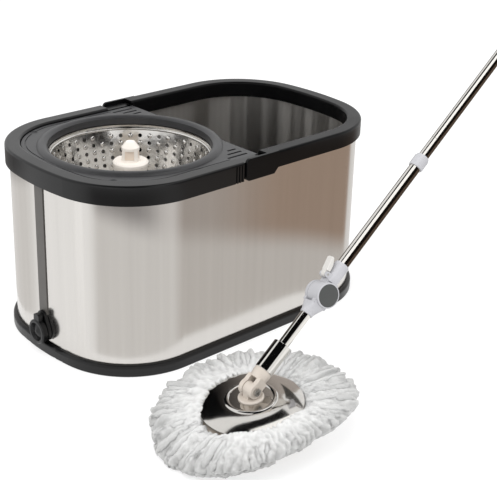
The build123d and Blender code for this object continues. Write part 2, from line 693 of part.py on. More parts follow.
def thrust_washer():
    """Washer between the cradle's boss and the basket's bush."""
    return BASKET * ring(WASHER_RADIUS, SPINDLE_RADIUS + RUNNING_GAP,
                         CRADLE_BOSS_TOP + FACE_GAP, BUSH_FOOT - THRUST_GAP)


# Drain

def drain_body():
    """Drop-shaped flange with a threaded spout through the steel band."""
    face = DRAIN_FACE_X
    drop = Circle(DRAIN_FLANGE_RADIUS) + Pos(0, DRAIN_LOBE_RISE) * Circle(DRAIN_LOBE_RADIUS)
    drop = make_hull(drop.edges())
    flange = Pos(face, 0, DRAIN_Z) * Plane.YZ.location * extrude(drop, -DRAIN_FLANGE)
    spout_end = face + DRAIN_TUBE_LENGTH
    body = flange + lengthwise(DRAIN_TUBE_RADIUS, face - DRAIN_FLANGE / 2, spout_end, z=DRAIN_Z)
    return body - lengthwise(DRAIN_BORE_RADIUS, face - 2 * DRAIN_FLANGE, face + 2 * DRAIN_TUBE_LENGTH,
                             z=DRAIN_Z)


def drain_gasket():
    """Rubber washer against the inside of the steel band."""
    start, end = DRAIN_INSIDE_X, DRAIN_INSIDE_X + DRAIN_GASKET
    washer = lengthwise(DRAIN_NUT_RADIUS, start, end, z=DRAIN_Z)
    return washer - lengthwise(DRAIN_TUBE_RADIUS + FACE_GAP, start, end, z=DRAIN_Z)


def drain_nut():
    """Hexagon nut that clamps the spout from inside."""
    start = DRAIN_INSIDE_X + DRAIN_GASKET + FACE_GAP
    nut = extrude(RegularPolygon(DRAIN_NUT_RADIUS, 6), DRAIN_NUT_LENGTH)
    nut -= rod(DRAIN_TUBE_RADIUS + FACE_GAP, 0, DRAIN_NUT_LENGTH)
    return Pos(start, 0, DRAIN_Z) * Rot(0, 90, 0) * nut


def drain_knob():
    """Turning plug with a raised ring face, a conical middle and one wing."""
    back = DRAIN_FACE_X - DRAIN_FLANGE - KNOB_GAP
    stem = DRAIN_BORE_RADIUS - RUNNING_GAP
    tip_radius, tip_drop = KNOB_TIP
    knob = turned((0, -KNOB_STEM), (stem, -KNOB_STEM), (stem, 0), (KNOB_RADIUS - KNOB_EDGE, 0),
                  (KNOB_RADIUS, KNOB_EDGE), (KNOB_RADIUS, KNOB_LENGTH - KNOB_EDGE),
                  (KNOB_RADIUS - KNOB_EDGE, KNOB_LENGTH), (KNOB_RADIUS - KNOB_FACE, KNOB_LENGTH),
                  (KNOB_RADIUS - KNOB_DISH, KNOB_LENGTH - KNOB_FACE),
                  (tip_radius, KNOB_LENGTH - tip_drop), (0, KNOB_LENGTH))
    width, reach = KNOB_WING
    wing = block(-reach, 0, -width / 2, width / 2, KNOB_EDGE, KNOB_LENGTH - KNOB_EDGE)
    wing = soften(wing, KNOB_WING_ROUND, lambda e: e.filter_by(Axis.Z).group_by(Axis.X)[0])
    knob += wing - rod(KNOB_RADIUS - KNOB_EDGE, 0, KNOB_LENGTH)
    return Pos(back, 0, DRAIN_Z) * Rot(0, -90, 0) * Rot(0, 0, 180) * knob


# Mop head

def head_plate():
    """Pressed chrome plate with a flat crown and a raised bead."""
    low = PLATE_CROWN - PLATE_SHEET
    bead_in, bead_out = BEAD_RADIUS - BEAD_HALF, BEAD_RADIUS + BEAD_HALF
    mid_radius, mid_drop = PLATE_MID
    bead_foot = (bead_out, PLATE_CROWN - BEAD_FALL)
    hollow_foot = (bead_out, low - BEAD_FALL - PLATE_UNDER)
    lip = (PLATE_RADIUS - PLATE_SHEET, -PLATE_SHEET)
    crown = Line((PLATE_EYE, PLATE_CROWN), (bead_in, PLATE_CROWN))
    bead = ThreePointArc((bead_in, PLATE_CROWN), (BEAD_RADIUS, PLATE_CROWN + BEAD_RISE), bead_foot)
    slope = ThreePointArc(bead_foot, (mid_radius, PLATE_CROWN - mid_drop), (PLATE_RADIUS, 0))
    edge = Polyline((PLATE_RADIUS, 0), (PLATE_RADIUS, -PLATE_SHEET), lip)
    hollow = ThreePointArc(lip, (mid_radius, low - mid_drop - PLATE_UNDER), hollow_foot)
    inside = Polyline(hollow_foot, (bead_in, low), (PLATE_EYE, low), (PLATE_EYE, PLATE_CROWN))
    section = make_face([crown, bead, slope, edge, hollow, inside])
    return HEAD * revolve(Plane.XZ * section, Axis.Z)


def plate_carrier():
    """Plastic disc under the chrome plate, with a boss that the refill snaps onto."""
    boss_top = PLATE_CROWN - PLATE_SHEET - FACE_GAP
    snap_radius = REFILL_INNER - REFILL_SLACK
    snap_low = CARRIER_BOTTOM - CARRIER_SNAP
    carrier = turned((0, snap_low), (snap_radius, snap_low), (snap_radius, CARRIER_BOTTOM),
                     (CARRIER_RADIUS, CARRIER_BOTTOM), (CARRIER_RADIUS, CARRIER_TOP),
                     (CARRIER_BOSS_RADIUS, CARRIER_TOP), (CARRIER_BOSS_RADIUS, boss_top), (0, boss_top))
    carrier -= rod(HEAD_SCREW_WELL, snap_low, CARRIER_BOTTOM)
    return HEAD * (carrier - rod(HEAD_SCREW_BORE, CARRIER_BOTTOM, boss_top))


def refill_ring():
    """Plastic ring of the refill, which carries the strands."""
    high = CARRIER_BOTTOM - END_GAP
    low = high - REFILL_THICKNESS
    return HEAD * turned((REFILL_INNER, low), (REFILL_OUTER - REFILL_CHAMFER, low),
                         (REFILL_OUTER, low + REFILL_CHAMFER), (REFILL_OUTER, high), (REFILL_INNER, high))


def mop_pad():
    """Soft ring of strands, flat on the floor."""
    well = (PAD_WELL_RADIUS - PAD_WELL_SLOPE, PAD_WELL_Z)
    inner_top = (PAD_WELL_RADIUS, PAD_TOP - PAD_INNER_DROP)
    shoulder = (PAD_SHOULDER_RADIUS, PAD_TOP - PAD_OUTER_DROP)
    foot = (PAD_FOOT_RADIUS, 0)
    inside = Polyline(foot, (0, 0), (0, PAD_WELL_Z), well, inner_top)
    crown = ThreePointArc(inner_top, (PAD_CROWN_RADIUS, PAD_TOP), shoulder)
    side = ThreePointArc(shoulder, (PAD_RADIUS, PAD_BULGE_Z), foot)
    ring_face = make_face([inside, crown, side])
    pad = revolve(Plane.XZ * ring_face, Axis.Z)
    return Pos(HEAD_PLACE.X, HEAD_PLACE.Y, 0) * pad


def knuckle_bracket():
    """Cream lug on the plate, with a single tongue for the tilt pin."""
    base = PLATE_CROWN + FACE_GAP
    flange = turned((0, base), (BRACKET_FLANGE_RADIUS, base),
                    (BRACKET_FLANGE_RADIUS, base + BRACKET_FLANGE / 2),
                    (BRACKET_FLANGE_RADIUS - BRACKET_CHAMFER, base + BRACKET_FLANGE),
                    (0, base + BRACKET_FLANGE))
    tongue = block(-TONGUE_RADIUS, TONGUE_RADIUS, -TONGUE_HALF, TONGUE_HALF, base, PIN_RISE)
    tongue += crosswise(TONGUE_RADIUS, -TONGUE_HALF, TONGUE_HALF, z=PIN_RISE)
    bracket = flange + tongue
    bracket -= crosswise(TILT_PIN_RADIUS + RUNNING_GAP, -TONGUE_HALF, TONGUE_HALF, z=PIN_RISE)
    return HEAD * (bracket - rod(HEAD_SCREW_THREAD, base, base + BRACKET_THREAD_DEPTH))


def bracket_screw():
    """Screw up through carrier and plate into the bracket."""
    radius, height = HEAD_SCREW_HEAD
    tip = PLATE_CROWN + BRACKET_THREAD_DEPTH - HEAD_SCREW_END_GAP
    shank = rod(HEAD_SCREW_RADIUS, CARRIER_BOTTOM - HEAD_SCREW_END_GAP, tip)
    head = rod(radius, CARRIER_BOTTOM - height, CARRIER_BOTTOM - FACE_GAP)
    return HEAD * (shank + head - slot_cut(HEAD_SCREW_SLOT, CARRIER_BOTTOM - height))


# Lower pole

def yoke():
    """Cream fork with two round ears and a spigot for the sleeve."""
    fork = Part()
    for side in (-1, 1):
        y0, y1 = sorted((side * YOKE_GAP, side * YOKE_OUTER))
        fork += crosswise(EAR_RADIUS, y0, y1)
        fork += block(-YOKE_CHEEK_HALF, YOKE_CHEEK_HALF, y0, y1, 0, YOKE_BRIDGE + YOKE_CHEEK_ROOT)
    shoulder = SLEEVE_RADIUS - YOKE_SHOULDER
    spigot = SLEEVE_BORE - FACE_GAP
    seat = SLEEVE_START - END_GAP
    fork += turned((0, YOKE_BRIDGE), (YOKE_BRIDGE_RADIUS, YOKE_BRIDGE),
                   (shoulder, SLEEVE_START - YOKE_TAPER), (shoulder, seat),
                   (spigot, seat), (spigot, SPIGOT_END), (0, SPIGOT_END))
    fork -= rod(LOWER_TUBE_RADIUS + RUNNING_GAP, LOWER_TUBE_START - TUBE_FOOT_GAP, SPIGOT_END)
    return POLE * (fork - crosswise(TILT_PIN_RADIUS + PRESS_GAP, -YOKE_OUTER, YOKE_OUTER))


def tilt_pin():
    """Steel screw through both ears and the tongue."""
    radius, height = TILT_HEAD
    pin = crosswise(TILT_PIN_RADIUS, -YOKE_OUTER - TILT_PIN_TAIL, YOKE_OUTER + END_GAP)
    head = crosswise(radius, YOKE_OUTER + FACE_GAP, YOKE_OUTER + height)
    socket = Rot(-90, 0, 0) * extrude(RegularPolygon(TILT_SOCKET_RADIUS, 6), height)
    return POLE * (pin + head - Pos(0, YOKE_OUTER + TILT_SOCKET_FLOOR, 0) * socket)


def tilt_nut():
    """Hexagon nut on the far end of the tilt pin."""
    radius, height = TILT_HEAD
    nut = extrude(RegularPolygon(radius, 6), height) - rod(TILT_PIN_RADIUS + PRESS_GAP, 0, height)
    return POLE * (Pos(0, -YOKE_OUTER - height - END_GAP, 0) * Rot(-90, 0, 0) * nut)


def pole_sleeve():
    """Chrome sleeve over the yoke's spigot, closed round the tube at its top."""
    sleeve = ring(SLEEVE_RADIUS, SLEEVE_BORE, SLEEVE_START, SLEEVE_END)
    sleeve += ring(SLEEVE_RADIUS, LOWER_TUBE_RADIUS + FACE_GAP, SLEEVE_END - SLEEVE_END_WALL, SLEEVE_END)
    return POLE * soften(sleeve, SLEEVE_ROUND, lambda e: circles(e).group_by(SortBy.RADIUS)[-1])


def lower_tube():
    """Chrome tube from the yoke to the fold joint."""
    bore = LOWER_TUBE_RADIUS - TUBE_SHEET
    return POLE * ring(LOWER_TUBE_RADIUS, bore, LOWER_TUBE_START, LOWER_TUBE_END)


def lower_socket():
    """White socket with two round cheeks for the fold joint."""
    edge_in, edge_up = SOCKET_CHAMFER
    socket = turned((0, SOCKET_START), (SOCKET_RADIUS - edge_in, SOCKET_START),
                    (SOCKET_RADIUS, SOCKET_START + edge_up), (SOCKET_RADIUS, SOCKET_NECK), (0, SOCKET_NECK))
    back, front = DRUM_BACK_INSET - DRUM_BACK, DRUM_FRONT - DRUM_FRONT_INSET
    web = RectangleRounded(2 * SOCKET_WEB_HALF, front - back, SOCKET_WEB_ROUND)
    socket += loft([Pos(0, 0, SOCKET_NECK) * Circle(SOCKET_RADIUS),
                    Pos(0, (front + back) / 2, SOCKET_WEB) * web])
    socket += block(-SOCKET_WEB_HALF, SOCKET_WEB_HALF, back, -CHEEK_INNER, SOCKET_WEB, FOLD_AT)
    socket += block(-SOCKET_WEB_HALF, SOCKET_WEB_HALF, CHEEK_INNER, front, SOCKET_WEB, FOLD_AT)
    back_cheek = crosswise(DRUM_RADIUS, -DRUM_BACK, -CHEEK_INNER, z=FOLD_AT)
    socket += soften(back_cheek, DRUM_BACK_ROUND, lambda e: circles(e).group_by(Axis.Y)[0])
    front_cheek = crosswise(DRUM_RADIUS, CHEEK_INNER, DRUM_FRONT, z=FOLD_AT)
    socket += soften(front_cheek, EDGE_ROUND, lambda e: circles(e).group_by(Axis.Y)[-1])
    socket -= rod(LOWER_TUBE_RADIUS + RUNNING_GAP, SOCKET_START, LOWER_TUBE_END + END_GAP)
    cap_floor = DRUM_FRONT - FOLD_CAP_THICKNESS
    socket -= crosswise(FOLD_CAP_RADIUS + FOLD_CAP_SLACK, cap_floor, DRUM_FRONT, z=FOLD_AT)
    bore = crosswise(FOLD_PIN_RADIUS + PRESS_GAP, FOLD_BORE_BACK - DRUM_BACK, DRUM_FRONT, z=FOLD_AT)
    return FOLD * (socket - bore)


def fold_pin():
    """Steel pin of the fold joint."""
    front = DRUM_FRONT - FOLD_CAP_THICKNESS - END_GAP
    return FOLD * crosswise(FOLD_PIN_RADIUS, FOLD_PIN_BACK - DRUM_BACK, front, z=FOLD_AT)


def fold_cap():
    """Grey disc that closes the front cheek."""
    seat = DRUM_FRONT - FOLD_CAP_THICKNESS + FACE_GAP
    cap = crosswise(FOLD_CAP_RADIUS, seat, DRUM_FRONT + END_GAP, z=FOLD_AT)
    return FOLD * soften(cap, FOLD_CAP_ROUND, lambda e: circles(e).group_by(Axis.Y)[-1])


# Middle pole

def upper_socket():
    """White socket with the tongue of the fold joint and the two lugs of the lock lever."""
    tongue = crosswise(FOLD_TONGUE_RADIUS, -FOLD_TONGUE_HALF, FOLD_TONGUE_HALF, z=FOLD_AT)
    tongue += block(-FOLD_WEB_HALF, FOLD_WEB_HALF, -FOLD_TONGUE_HALF, FOLD_TONGUE_HALF,
                    FOLD_AT, UPPER_SOCKET_START + FOLD_WEB_OVERLAP)
    edge_in, edge_down = UPPER_SOCKET_CHAMFER
    body = turned((0, UPPER_SOCKET_START), (UPPER_SOCKET_RADIUS, UPPER_SOCKET_START),
                  (UPPER_SOCKET_RADIUS, UPPER_SOCKET_END - edge_down),
                  (UPPER_SOCKET_RADIUS - edge_in, UPPER_SOCKET_END), (0, UPPER_SOCKET_END))
    socket = tongue + body
    lug_x, lug_z = LEVER_AT
    near, far = LEVER_HALF + LUG_GAP, LEVER_HALF + LUG_GAP + LUG_THICKNESS
    for side in (-1, 1):
        y0, y1 = sorted((side * near, side * far))
        lug = block(LUG_ROOT_X, lug_x, y0, y1, lug_z - LEVER_BARREL, lug_z + LEVER_BARREL)
        socket += lug + crosswise(LEVER_BARREL, y0, y1, lug_x, lug_z)
    socket -= crosswise(LEVER_BARREL + BARREL_GAP, -near, near, lug_x, lug_z)
    socket -= crosswise(LEVER_PIN_RADIUS + PRESS_GAP, -FAR, FAR, lug_x, lug_z)
    socket -= rod(MID_TUBE_RADIUS + RUNNING_GAP, MID_TUBE_START - END_GAP, UPPER_SOCKET_END)
    return FOLD * (socket - crosswise(FOLD_PIN_RADIUS + RUNNING_GAP, -FAR, FAR, z=FOLD_AT))


def lever_pin():
    """Small steel pin through the lugs and the lever."""
    x, z = LEVER_AT
    half = LEVER_HALF + LUG_GAP + LUG_THICKNESS - END_GAP
    return FOLD * crosswise(LEVER_PIN_RADIUS, -half, half, x, z)


def lock_lever():
    """Thumb lever that leans out from the socket, widens past its lugs and ends in a round tip."""
    x, z = LEVER_AT
    crown, crown_drop = LEVER_CROWN
    nose_in, nose_out = LEVER_NOSE
    arm = Polyline((x - LEVER_UNDER, z), (x + LEVER_BARREL, z), (x + crown, LEVER_TIP - crown_drop),
                   (x + nose_out, LEVER_TIP), (x + nose_in, LEVER_TIP),
                   (x - LEVER_UNDER, LEVER_TIP - LEVER_FLARE), close=True)
    face = make_face(arm)
    face = fillet(face.vertices().group_by(Axis.Y)[-1], EDGE_ROUND)
    lever = Pos(0, LEVER_WIDE_HALF, 0) * extrude(Plane.XZ * face, 2 * LEVER_WIDE_HALF)
    for side in (-1, 1):
        y0, y1 = sorted((side * LEVER_HALF, side * FAR))
        lever -= block(-FAR, FAR, y0, y1, 0, LEVER_WIDE_START)
    lever = soften(lever, EDGE_ROUND, outer_lever_edges)
    outline = Pos(0, z) * RectangleRounded(2 * LEVER_WIDE_HALF, 2 * (LEVER_TIP - z), LEVER_TIP_ROUND)
    lever &= extrude(Plane.YZ * outline, FAR, both=True)
    lever += crosswise(LEVER_BARREL, -LEVER_HALF, LEVER_HALF, x, z)
    return LEVER * (lever - crosswise(LEVER_PIN_RADIUS + RUNNING_GAP, -FAR, FAR, x, z))


def outer_lever_edges(edges):
    """Edges of the lever's two sides that face away from the pole."""
    outside = LEVER_AT[0] + LEVER_UNDER
    return edges.filter_by(lambda e: abs(e.center().Y) > LEVER_WIDE_HALF - FACE_GAP and e.center().X > outside)


def lever_spring():
    """Leaf spring flat against the lever's inside."""
    x, z = LEVER_AT
    face = x - LEVER_UNDER
    start, stop = SPRING_ENDS
    return LEVER * block(face - SPRING_THICKNESS, face, -SPRING_HALF, SPRING_HALF,
                         z + start, LEVER_TIP - stop)


def mid_tube():
    """Chrome outer tube of the telescopic pole."""
    return POLE * ring(MID_TUBE_RADIUS, MID_TUBE_RADIUS - MID_TUBE_SHEET, MID_TUBE_START, MID_TUBE_END)


def screw_seat():
    """Plug that holds the foot of the drive screw in the middle tube."""
    top = SCREW_SEAT_START + SCREW_SEAT_LENGTH
    plug = rod(MID_TUBE_RADIUS - MID_TUBE_SHEET - PRESS_GAP, SCREW_SEAT_START, top)
    return POLE * (plug - twisted_bar(SCREW_SEAT_START + SCREW_FLOOR, top, SCREW_SEAT_SLACK))


def twisted_bar(low, high, slack=0.0):
    """Flat bar wound about the pole, one turn for each lead, its corners wider by slack."""
    width, thickness = SCREW_SECTION
    steps = max(1, round((high - low) / SCREW_LEAD * 360 / SCREW_STEP_ANGLE))
    sections = []
    for i in range(steps + 1):
        height = low + (high - low) * i / steps
        turn = Rot(0, 0, 360 * height / SCREW_LEAD)
        sections.append(Pos(0, 0, height) * turn * Rectangle(width + slack, thickness + slack))
    return loft(sections, ruled=True)


def drive_screw():
    """Twisted steel bar that turns the pressed pole into spin."""
    return POLE * twisted_bar(SCREW_SEAT_START + SCREW_FLOOR, SCREW_TOP)


def collar():
    """White twist collar at the top of the middle tube."""
    foot_in, foot_up = COLLAR_FOOT
    head_in, head_down = COLLAR_HEAD
    wide, narrow = MID_TUBE_RADIUS + RUNNING_GAP, UPPER_TUBE_RADIUS + RUNNING_GAP
    step = MID_TUBE_END + COLLAR_STOP_GAP
    return POLE * turned((wide, COLLAR_START), (COLLAR_RADIUS - foot_in, COLLAR_START),
                         (COLLAR_RADIUS, COLLAR_START + foot_up), (COLLAR_RADIUS, COLLAR_END - head_down),
                         (COLLAR_RADIUS - head_in, COLLAR_END), (narrow, COLLAR_END),
                         (narrow, step), (wide, step))


# Upper pole

def slide_bush():
    """Nylon thrust ring under the end of the upper tube."""
    width, thickness = SCREW_SECTION
    bore = sqrt(width ** 2 + thickness ** 2) / 2 + BUSH_BORE_SLACK
    outside = MID_TUBE_RADIUS - MID_TUBE_SHEET - RUNNING_GAP
    return POLE * ring(outside, bore, BUSH_START, BUSH_START + BUSH_LENGTH)


def drive_nut():
    """Nut in the upper tube with a slot wound like the screw."""
    nut = rod(UPPER_TUBE_RADIUS - TUBE_SHEET - PRESS_GAP, NUT_START, NUT_START + NUT_LENGTH)
    return POLE * (nut - twisted_bar(NUT_START, NUT_START + NUT_LENGTH, NUT_SLACK))


def upper_tube():
    """Chrome inner tube that slides into the middle tube."""
    return POLE * ring(UPPER_TUBE_RADIUS, UPPER_TUBE_RADIUS - TUBE_SHEET, UPPER_TUBE_START,
                       TUBE_JOINT - TUBE_JOINT_GAP / 2)


def tube_coupler():
    """Short inner tube that joins upper and top tube."""
    bore = UPPER_TUBE_RADIUS - TUBE_SHEET
    return POLE * ring(bore - PRESS_GAP, bore - COUPLER_WALL, TUBE_JOINT - COUPLER_REACH,
                       TUBE_JOINT + COUPLER_REACH)


def top_tube():
    """Chrome tube up to the grip."""
    return POLE * ring(UPPER_TUBE_RADIUS, UPPER_TUBE_RADIUS - TUBE_SHEET,
                       TUBE_JOINT + TUBE_JOINT_GAP / 2, TOP_TUBE_END)


def grip():
    """Moulded hand grip with shallow rings."""
    bore = UPPER_TUBE_RADIUS + PRESS_GAP
    foot, crest = GRIP_PROFILE
    pitch = (GRIP_END - GRIP_START) / GRIP_RINGS
    points = [(bore, GRIP_START), (GRIP_RADIUS - GRIP_LIP, GRIP_START)]
    for i in range(GRIP_RINGS):
        low, high = GRIP_START + pitch * i, GRIP_START + pitch * (i + 1)
        points.append((GRIP_RADIUS - GRIP_GROOVE, low + foot * pitch))
        points.append((GRIP_RADIUS, low + crest * pitch))
        points.append((GRIP_RADIUS, high - crest * pitch))
        points.append((GRIP_RADIUS - GRIP_GROOVE, high - foot * pitch))
    points.append((GRIP_CAP_RADIUS, GRIP_END))
    points.append((bore, GRIP_END))
    return POLE * turned(*points)


def grip_cap():
    """Flat end cap with a hole to hang the mop by."""
    plug, plug_foot = UPPER_TUBE_RADIUS - FACE_GAP, GRIP_END - GRIP_CAP_PLUG
    seat, top = GRIP_END + FACE_GAP, GRIP_END + GRIP_CAP_DISC
    cap = turned((0, plug_foot), (plug, plug_foot), (plug, seat), (GRIP_CAP_RADIUS, seat),
                 (GRIP_CAP_RADIUS, top), (0, top))
    cap += block(-GRIP_TAIL_HALF, GRIP_TAIL_HALF, -GRIP_CAP_HALF, GRIP_CAP_HALF, seat, HANG_HOLE_AT)
    cap += crosswise(GRIP_TAIL_HALF, -GRIP_CAP_HALF, GRIP_CAP_HALF, z=HANG_HOLE_AT)
    return POLE * (cap - crosswise(HANG_HOLE_RADIUS, -GRIP_CAP_HALF, GRIP_CAP_HALF, z=HANG_HOLE_AT))


PIECES = (
    base_tray, wall_gasket, steel_wall, seam_strip, rim, handle_bail, handle_pivots,
    spin_deck, basket_cradle, cradle_screws, spindle_pin, thrust_washer,
    basket_bowl, basket_hub, hub_bush, hub_screws,
    drain_body, drain_gasket, drain_nut, drain_knob,
    head_plate, plate_carrier, refill_ring, mop_pad, knuckle_bracket, bracket_screw,
    yoke, tilt_pin, tilt_nut, pole_sleeve, lower_tube, lower_socket, fold_pin, fold_cap,
    upper_socket, lever_pin, lock_lever, lever_spring, mid_tube, screw_seat, drive_screw, collar,
    slide_bush, drive_nut, upper_tube, tube_coupler, top_tube, grip, grip_cap,
)


os.makedirs("parts", exist_ok=True)
for piece in PIECES:
    export_step(piece(), f"parts/{piece.__name__}.step")
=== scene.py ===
"""Looks of an oval steel spin bucket and its strand mop, built around the fixed CAD frame."""
import bisect
import math
import random

import bmesh
import bpy
from mathutils import Matrix, Vector, noise


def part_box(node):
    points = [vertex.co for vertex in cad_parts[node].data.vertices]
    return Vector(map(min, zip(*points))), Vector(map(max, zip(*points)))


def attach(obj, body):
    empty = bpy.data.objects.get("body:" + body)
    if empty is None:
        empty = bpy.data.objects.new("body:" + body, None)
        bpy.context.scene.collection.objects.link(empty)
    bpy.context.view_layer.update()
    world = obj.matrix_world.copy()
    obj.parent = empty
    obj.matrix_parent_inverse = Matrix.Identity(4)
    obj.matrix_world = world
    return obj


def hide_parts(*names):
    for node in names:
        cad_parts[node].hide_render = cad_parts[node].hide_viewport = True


bl_info = {
    "name": "Spin mop looks",
    "version": (1, 0, 0),
    "blender": (4, 5, 0),
    "location": "View3D > Sidebar > Spin mop",
    "description": "Finishes, strands, pressed dimples and studio for a spin bucket and its mop",
    "category": "Object",
}

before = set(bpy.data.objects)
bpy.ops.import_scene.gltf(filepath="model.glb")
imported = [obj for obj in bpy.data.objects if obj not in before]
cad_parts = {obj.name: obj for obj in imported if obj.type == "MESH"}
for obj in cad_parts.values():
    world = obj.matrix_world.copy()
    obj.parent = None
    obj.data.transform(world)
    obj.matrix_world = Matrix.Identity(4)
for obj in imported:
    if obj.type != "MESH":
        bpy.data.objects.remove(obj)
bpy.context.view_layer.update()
MM = 0.001

# Camera of the photograph: place in metres, its axes, its focal length on a 36 mm sensor, and how far it sees
CAMERA_PLACE = (-0.9819, -1.1516, 0.7532)
CAMERA_RIGHT = (0.7327, -0.6799, 0.0286)
CAMERA_UP = (0.2540, 0.3122, 0.9154)
SENSOR_WIDTH = 36.0
FOCAL_LENGTH = 86.42
CLIP_END = 100.0

# Shine of the bucket's black plastic, and of the duller handle
BLACK_SHINE = 0.38
DULL_SHINE = 0.16
# How much the roughness of a moulded plastic varies
MOTTLE_ROUGHER = 0.12
# Moulded plastics: setting of the main colour, lighter mottling, roughness, grain in mm, and the parts made of each
PLASTICS = {
    "satin_polypropylene": ("deck", "38383a", 0.36, 1.2, ("spin_deck",)),
    "white_abs": ("white", "c0c0c4", 0.28, 1.2, ("lower_socket", "upper_socket", "collar")),
    "ivory_abs": ("ivory", "f6f1ea", 0.3, 1.2, ("basket_hub",)),
    "bone_abs": ("bone", "d8d6d2", 0.3, 1.2, ("lock_lever",)),
    "cream_acetal": ("cream", "cec5bb", 0.3, 1.2, ("knuckle_bracket", "yoke", "refill_ring", "plate_carrier")),
    "grey_abs": ("grey", "474948", 0.4, 1.0, ("fold_cap",)),
    "soft_grip": ("grey", "0d0d0e", 0.6, 1.6, ("grip", "grip_cap")),
    "strip_film": ("strip", "575450", 0.35, 1.5, ("seam_strip",)),
    "natural_nylon": ("nylon", "e6e3d8", 0.4, 1.2,
                      ("hub_bush", "slide_bush", "screw_seat", "drive_nut", "thrust_washer")),
    "black_rubber": ("rubber", "060607", 0.7, 1.6, ("wall_gasket", "drain_gasket")),
}

# Basket: heights of the rows of holes from the rim down, and radius and height of the wall's foot and head
HOLE_ROWS_MM = (227.0, 217.5, 208.0, 198.5, 189.0, 179.5)
HOLES_PER_ROW = 24
WALL_FOOT_MM = (84.0, 160.0)
WALL_HEAD_MM = (103.5, 236.0)
# Distance from the axis and height of the bead that is rolled into the basket's upper edge
BEAD_MM = (102.0, 236.5)

# Hub post: how far the beige panels of painted shade in its windows stand from the axis, their lowest edge, thickness,
# rounding and headings
WINDOW_RADIUS_MM = 9.55
WINDOW_FOOT_MM = 231.0
WINDOW_THICKNESS_MM = 0.5
WINDOW_ROUND_MM = 0.15
WINDOW_ANGLES = (45.0, 135.0, 225.0, 315.0)
# Their finish, a beige that paints the shade and warm reflection of the recesses: lighter mottling, roughness, grain
# in mm
WINDOW_SHADE_FINISH = ("ecdfd1", 0.35, 1.2)

# Mop head: radius of the plate, lean of its axis towards -X, and how far its edge lies under its middle
PLATE_RADIUS_MM = 60.0
HEAD_LEAN = math.radians(8.0)
PLATE_DROP_MM = 3.0
# Headings, seen from above: facing the viewer, where the mop lies lowest, and where the upper tips reach further
FRONT_HEADING = math.radians(262.0)
LOW_HEADING = math.radians(170.0)
OUT_HEADING = math.radians(350.0)

# Way of a strand: distance of its start and depth under the plate's edge, then the distance of its crest
START_MM = (62.0, 6.0)
CREST_MM = 68.0
# Height of the crest over the plate's edge, what the viewer's side adds, and what the lowest layer takes off
CREST_RISE_MM = 1.5
CREST_FRONT_MM = 6.0
CREST_LOWER_MM = 9.0
# Shoulder between crest and tip: distance as a share of the reach plus a length, and its share of the drop
SHOULDER_SHARE = 0.5
SHOULDER_MM = 36.0
SHOULDER_DROP = 0.25
# Heights of the upper tips above the floor on the low side and, on top of that, on the high side
LOW_TIPS_MM = 12.0
HIGH_TIPS_MM = 44.0
# The same two heights for the lower tips, and how much shorter these are
LOWER_TIPS_MM = 3.0
LOWER_RISE_MM = 14.0
LOWER_SHORT_MM = 4.0
# How far the upper and the lower tips are drawn in on the side that faces the viewer
UPPER_DRAWN_IN_MM = 20.0
LOWER_DRAWN_IN_MM = 48.0
# How far the upper tips are drawn out where they reach further, and on the low side
DRAWN_OUT_MM = 13.0
LOW_DRAWN_OUT_MM = 2.0

# Rings along a strand, where the rounding of its tip starts, and where a rounding would close, just past the tip
STRAND_STOPS = (0.1, 0.2, 0.3, 0.4, 0.5, 0.6, 0.7, 0.78, 0.86, 0.92, 0.97)
STRAND_ROUND = 0.88
ROUND_END = 1.01
# Disorder of the strands: layer that each lies in, lift, and shares of length, droop, width, tone and ring width
STRAND_RISES = (0.3, 0.6, 1.0)
STRAND_LIFT_MM = 0.8
STRAND_LENGTHS = (0.94, 1.02)
STRAND_DROOPS = (0.95, 1.05)
STRAND_WIDTHS = (0.8, 1.2)
STRAND_TONES = (0.85, 1.0)
RING_WIDTHS = (0.82, 1.18)
# Waves along a strand: height, turns, share that goes up and down and how much faster, and sweep round the head
WAVE_MM = (0.5, 2.5)
WAVE_TURNS = (0.5, 1.2)
UPRIGHT_SHARE = 0.4
UPRIGHT_TURNS = 2.5
SWEEP = 0.06
# Step that gives a strand's direction, height of its middle in widths, and clearance of its underside
LOOK_AHEAD = 0.04
STRAND_BED = 0.8
STRAND_CLEAR_MM = 0.4

# Fleece: rows along its upper side, steps round the head, where its two edges start to round, and clearance
FLEECE_ROWS = 28
FLEECE_STEPS = 400
FLEECE_ROUND = 0.86
FLEECE_INNER_ROUND = 0.9
FLEECE_CLEAR_MM = 0.5
# Locks of the fleece: shares of the mean width, spread of length and lift, notches between them and grooves on top
LOCK_WIDTHS = (0.55, 1.45)
LOCK_LONGER_MM = 3.0
LOCK_LIFT_MM = 1.5
LOCK_NOTCH_MM = 4.0
LOCK_GROOVE_MM = 2.6
# Headings where the top layer curls in over the plate, how wide round the head each runs, and how sharply it ends
CURL_HEADINGS = (math.radians(250.0), math.radians(105.0))
CURL_HALF = math.radians(62.0)
CURL_FALL = 4
# How far it curls in, shares of that between and on the locks, and rise of its inner edge and of its crest
CURL_MM = 8.0
CURL_SHARES = (0.5, 0.7)
CURL_RISE_MM = (13.0, 2.5)
# Sideways wander of the grooves in radians, and its waves round the head, along the fleece and between layers
WANDER = 0.1
WANDER_WAVES = (5, 3, 7)
# Size and height of clumps and of small tufts
CLUMP_MM = (10.5, 2.1)
TUFT_MM = (4.2, 1.4)
# Tone of the yarn with painted shade, from 0, deep, to 1, bright: its mean, the painted shade in dips between clumps
# and tufts with lighter tops, the painted shade in grooves, and the painted shade towards the tips
SHADE_MEAN = 0.95
SHADE_CLUMP = 0.3
SHADE_GROOVE = 0.15
SHADE_TIP = 0.8

# Floor: its side in metres. Paint: size of the haze in it, and the share of its brightness that the haze leaves
FLOOR_SIDE = 30.0
HAZE_MM = 900
HAZE_DARK = 0.97
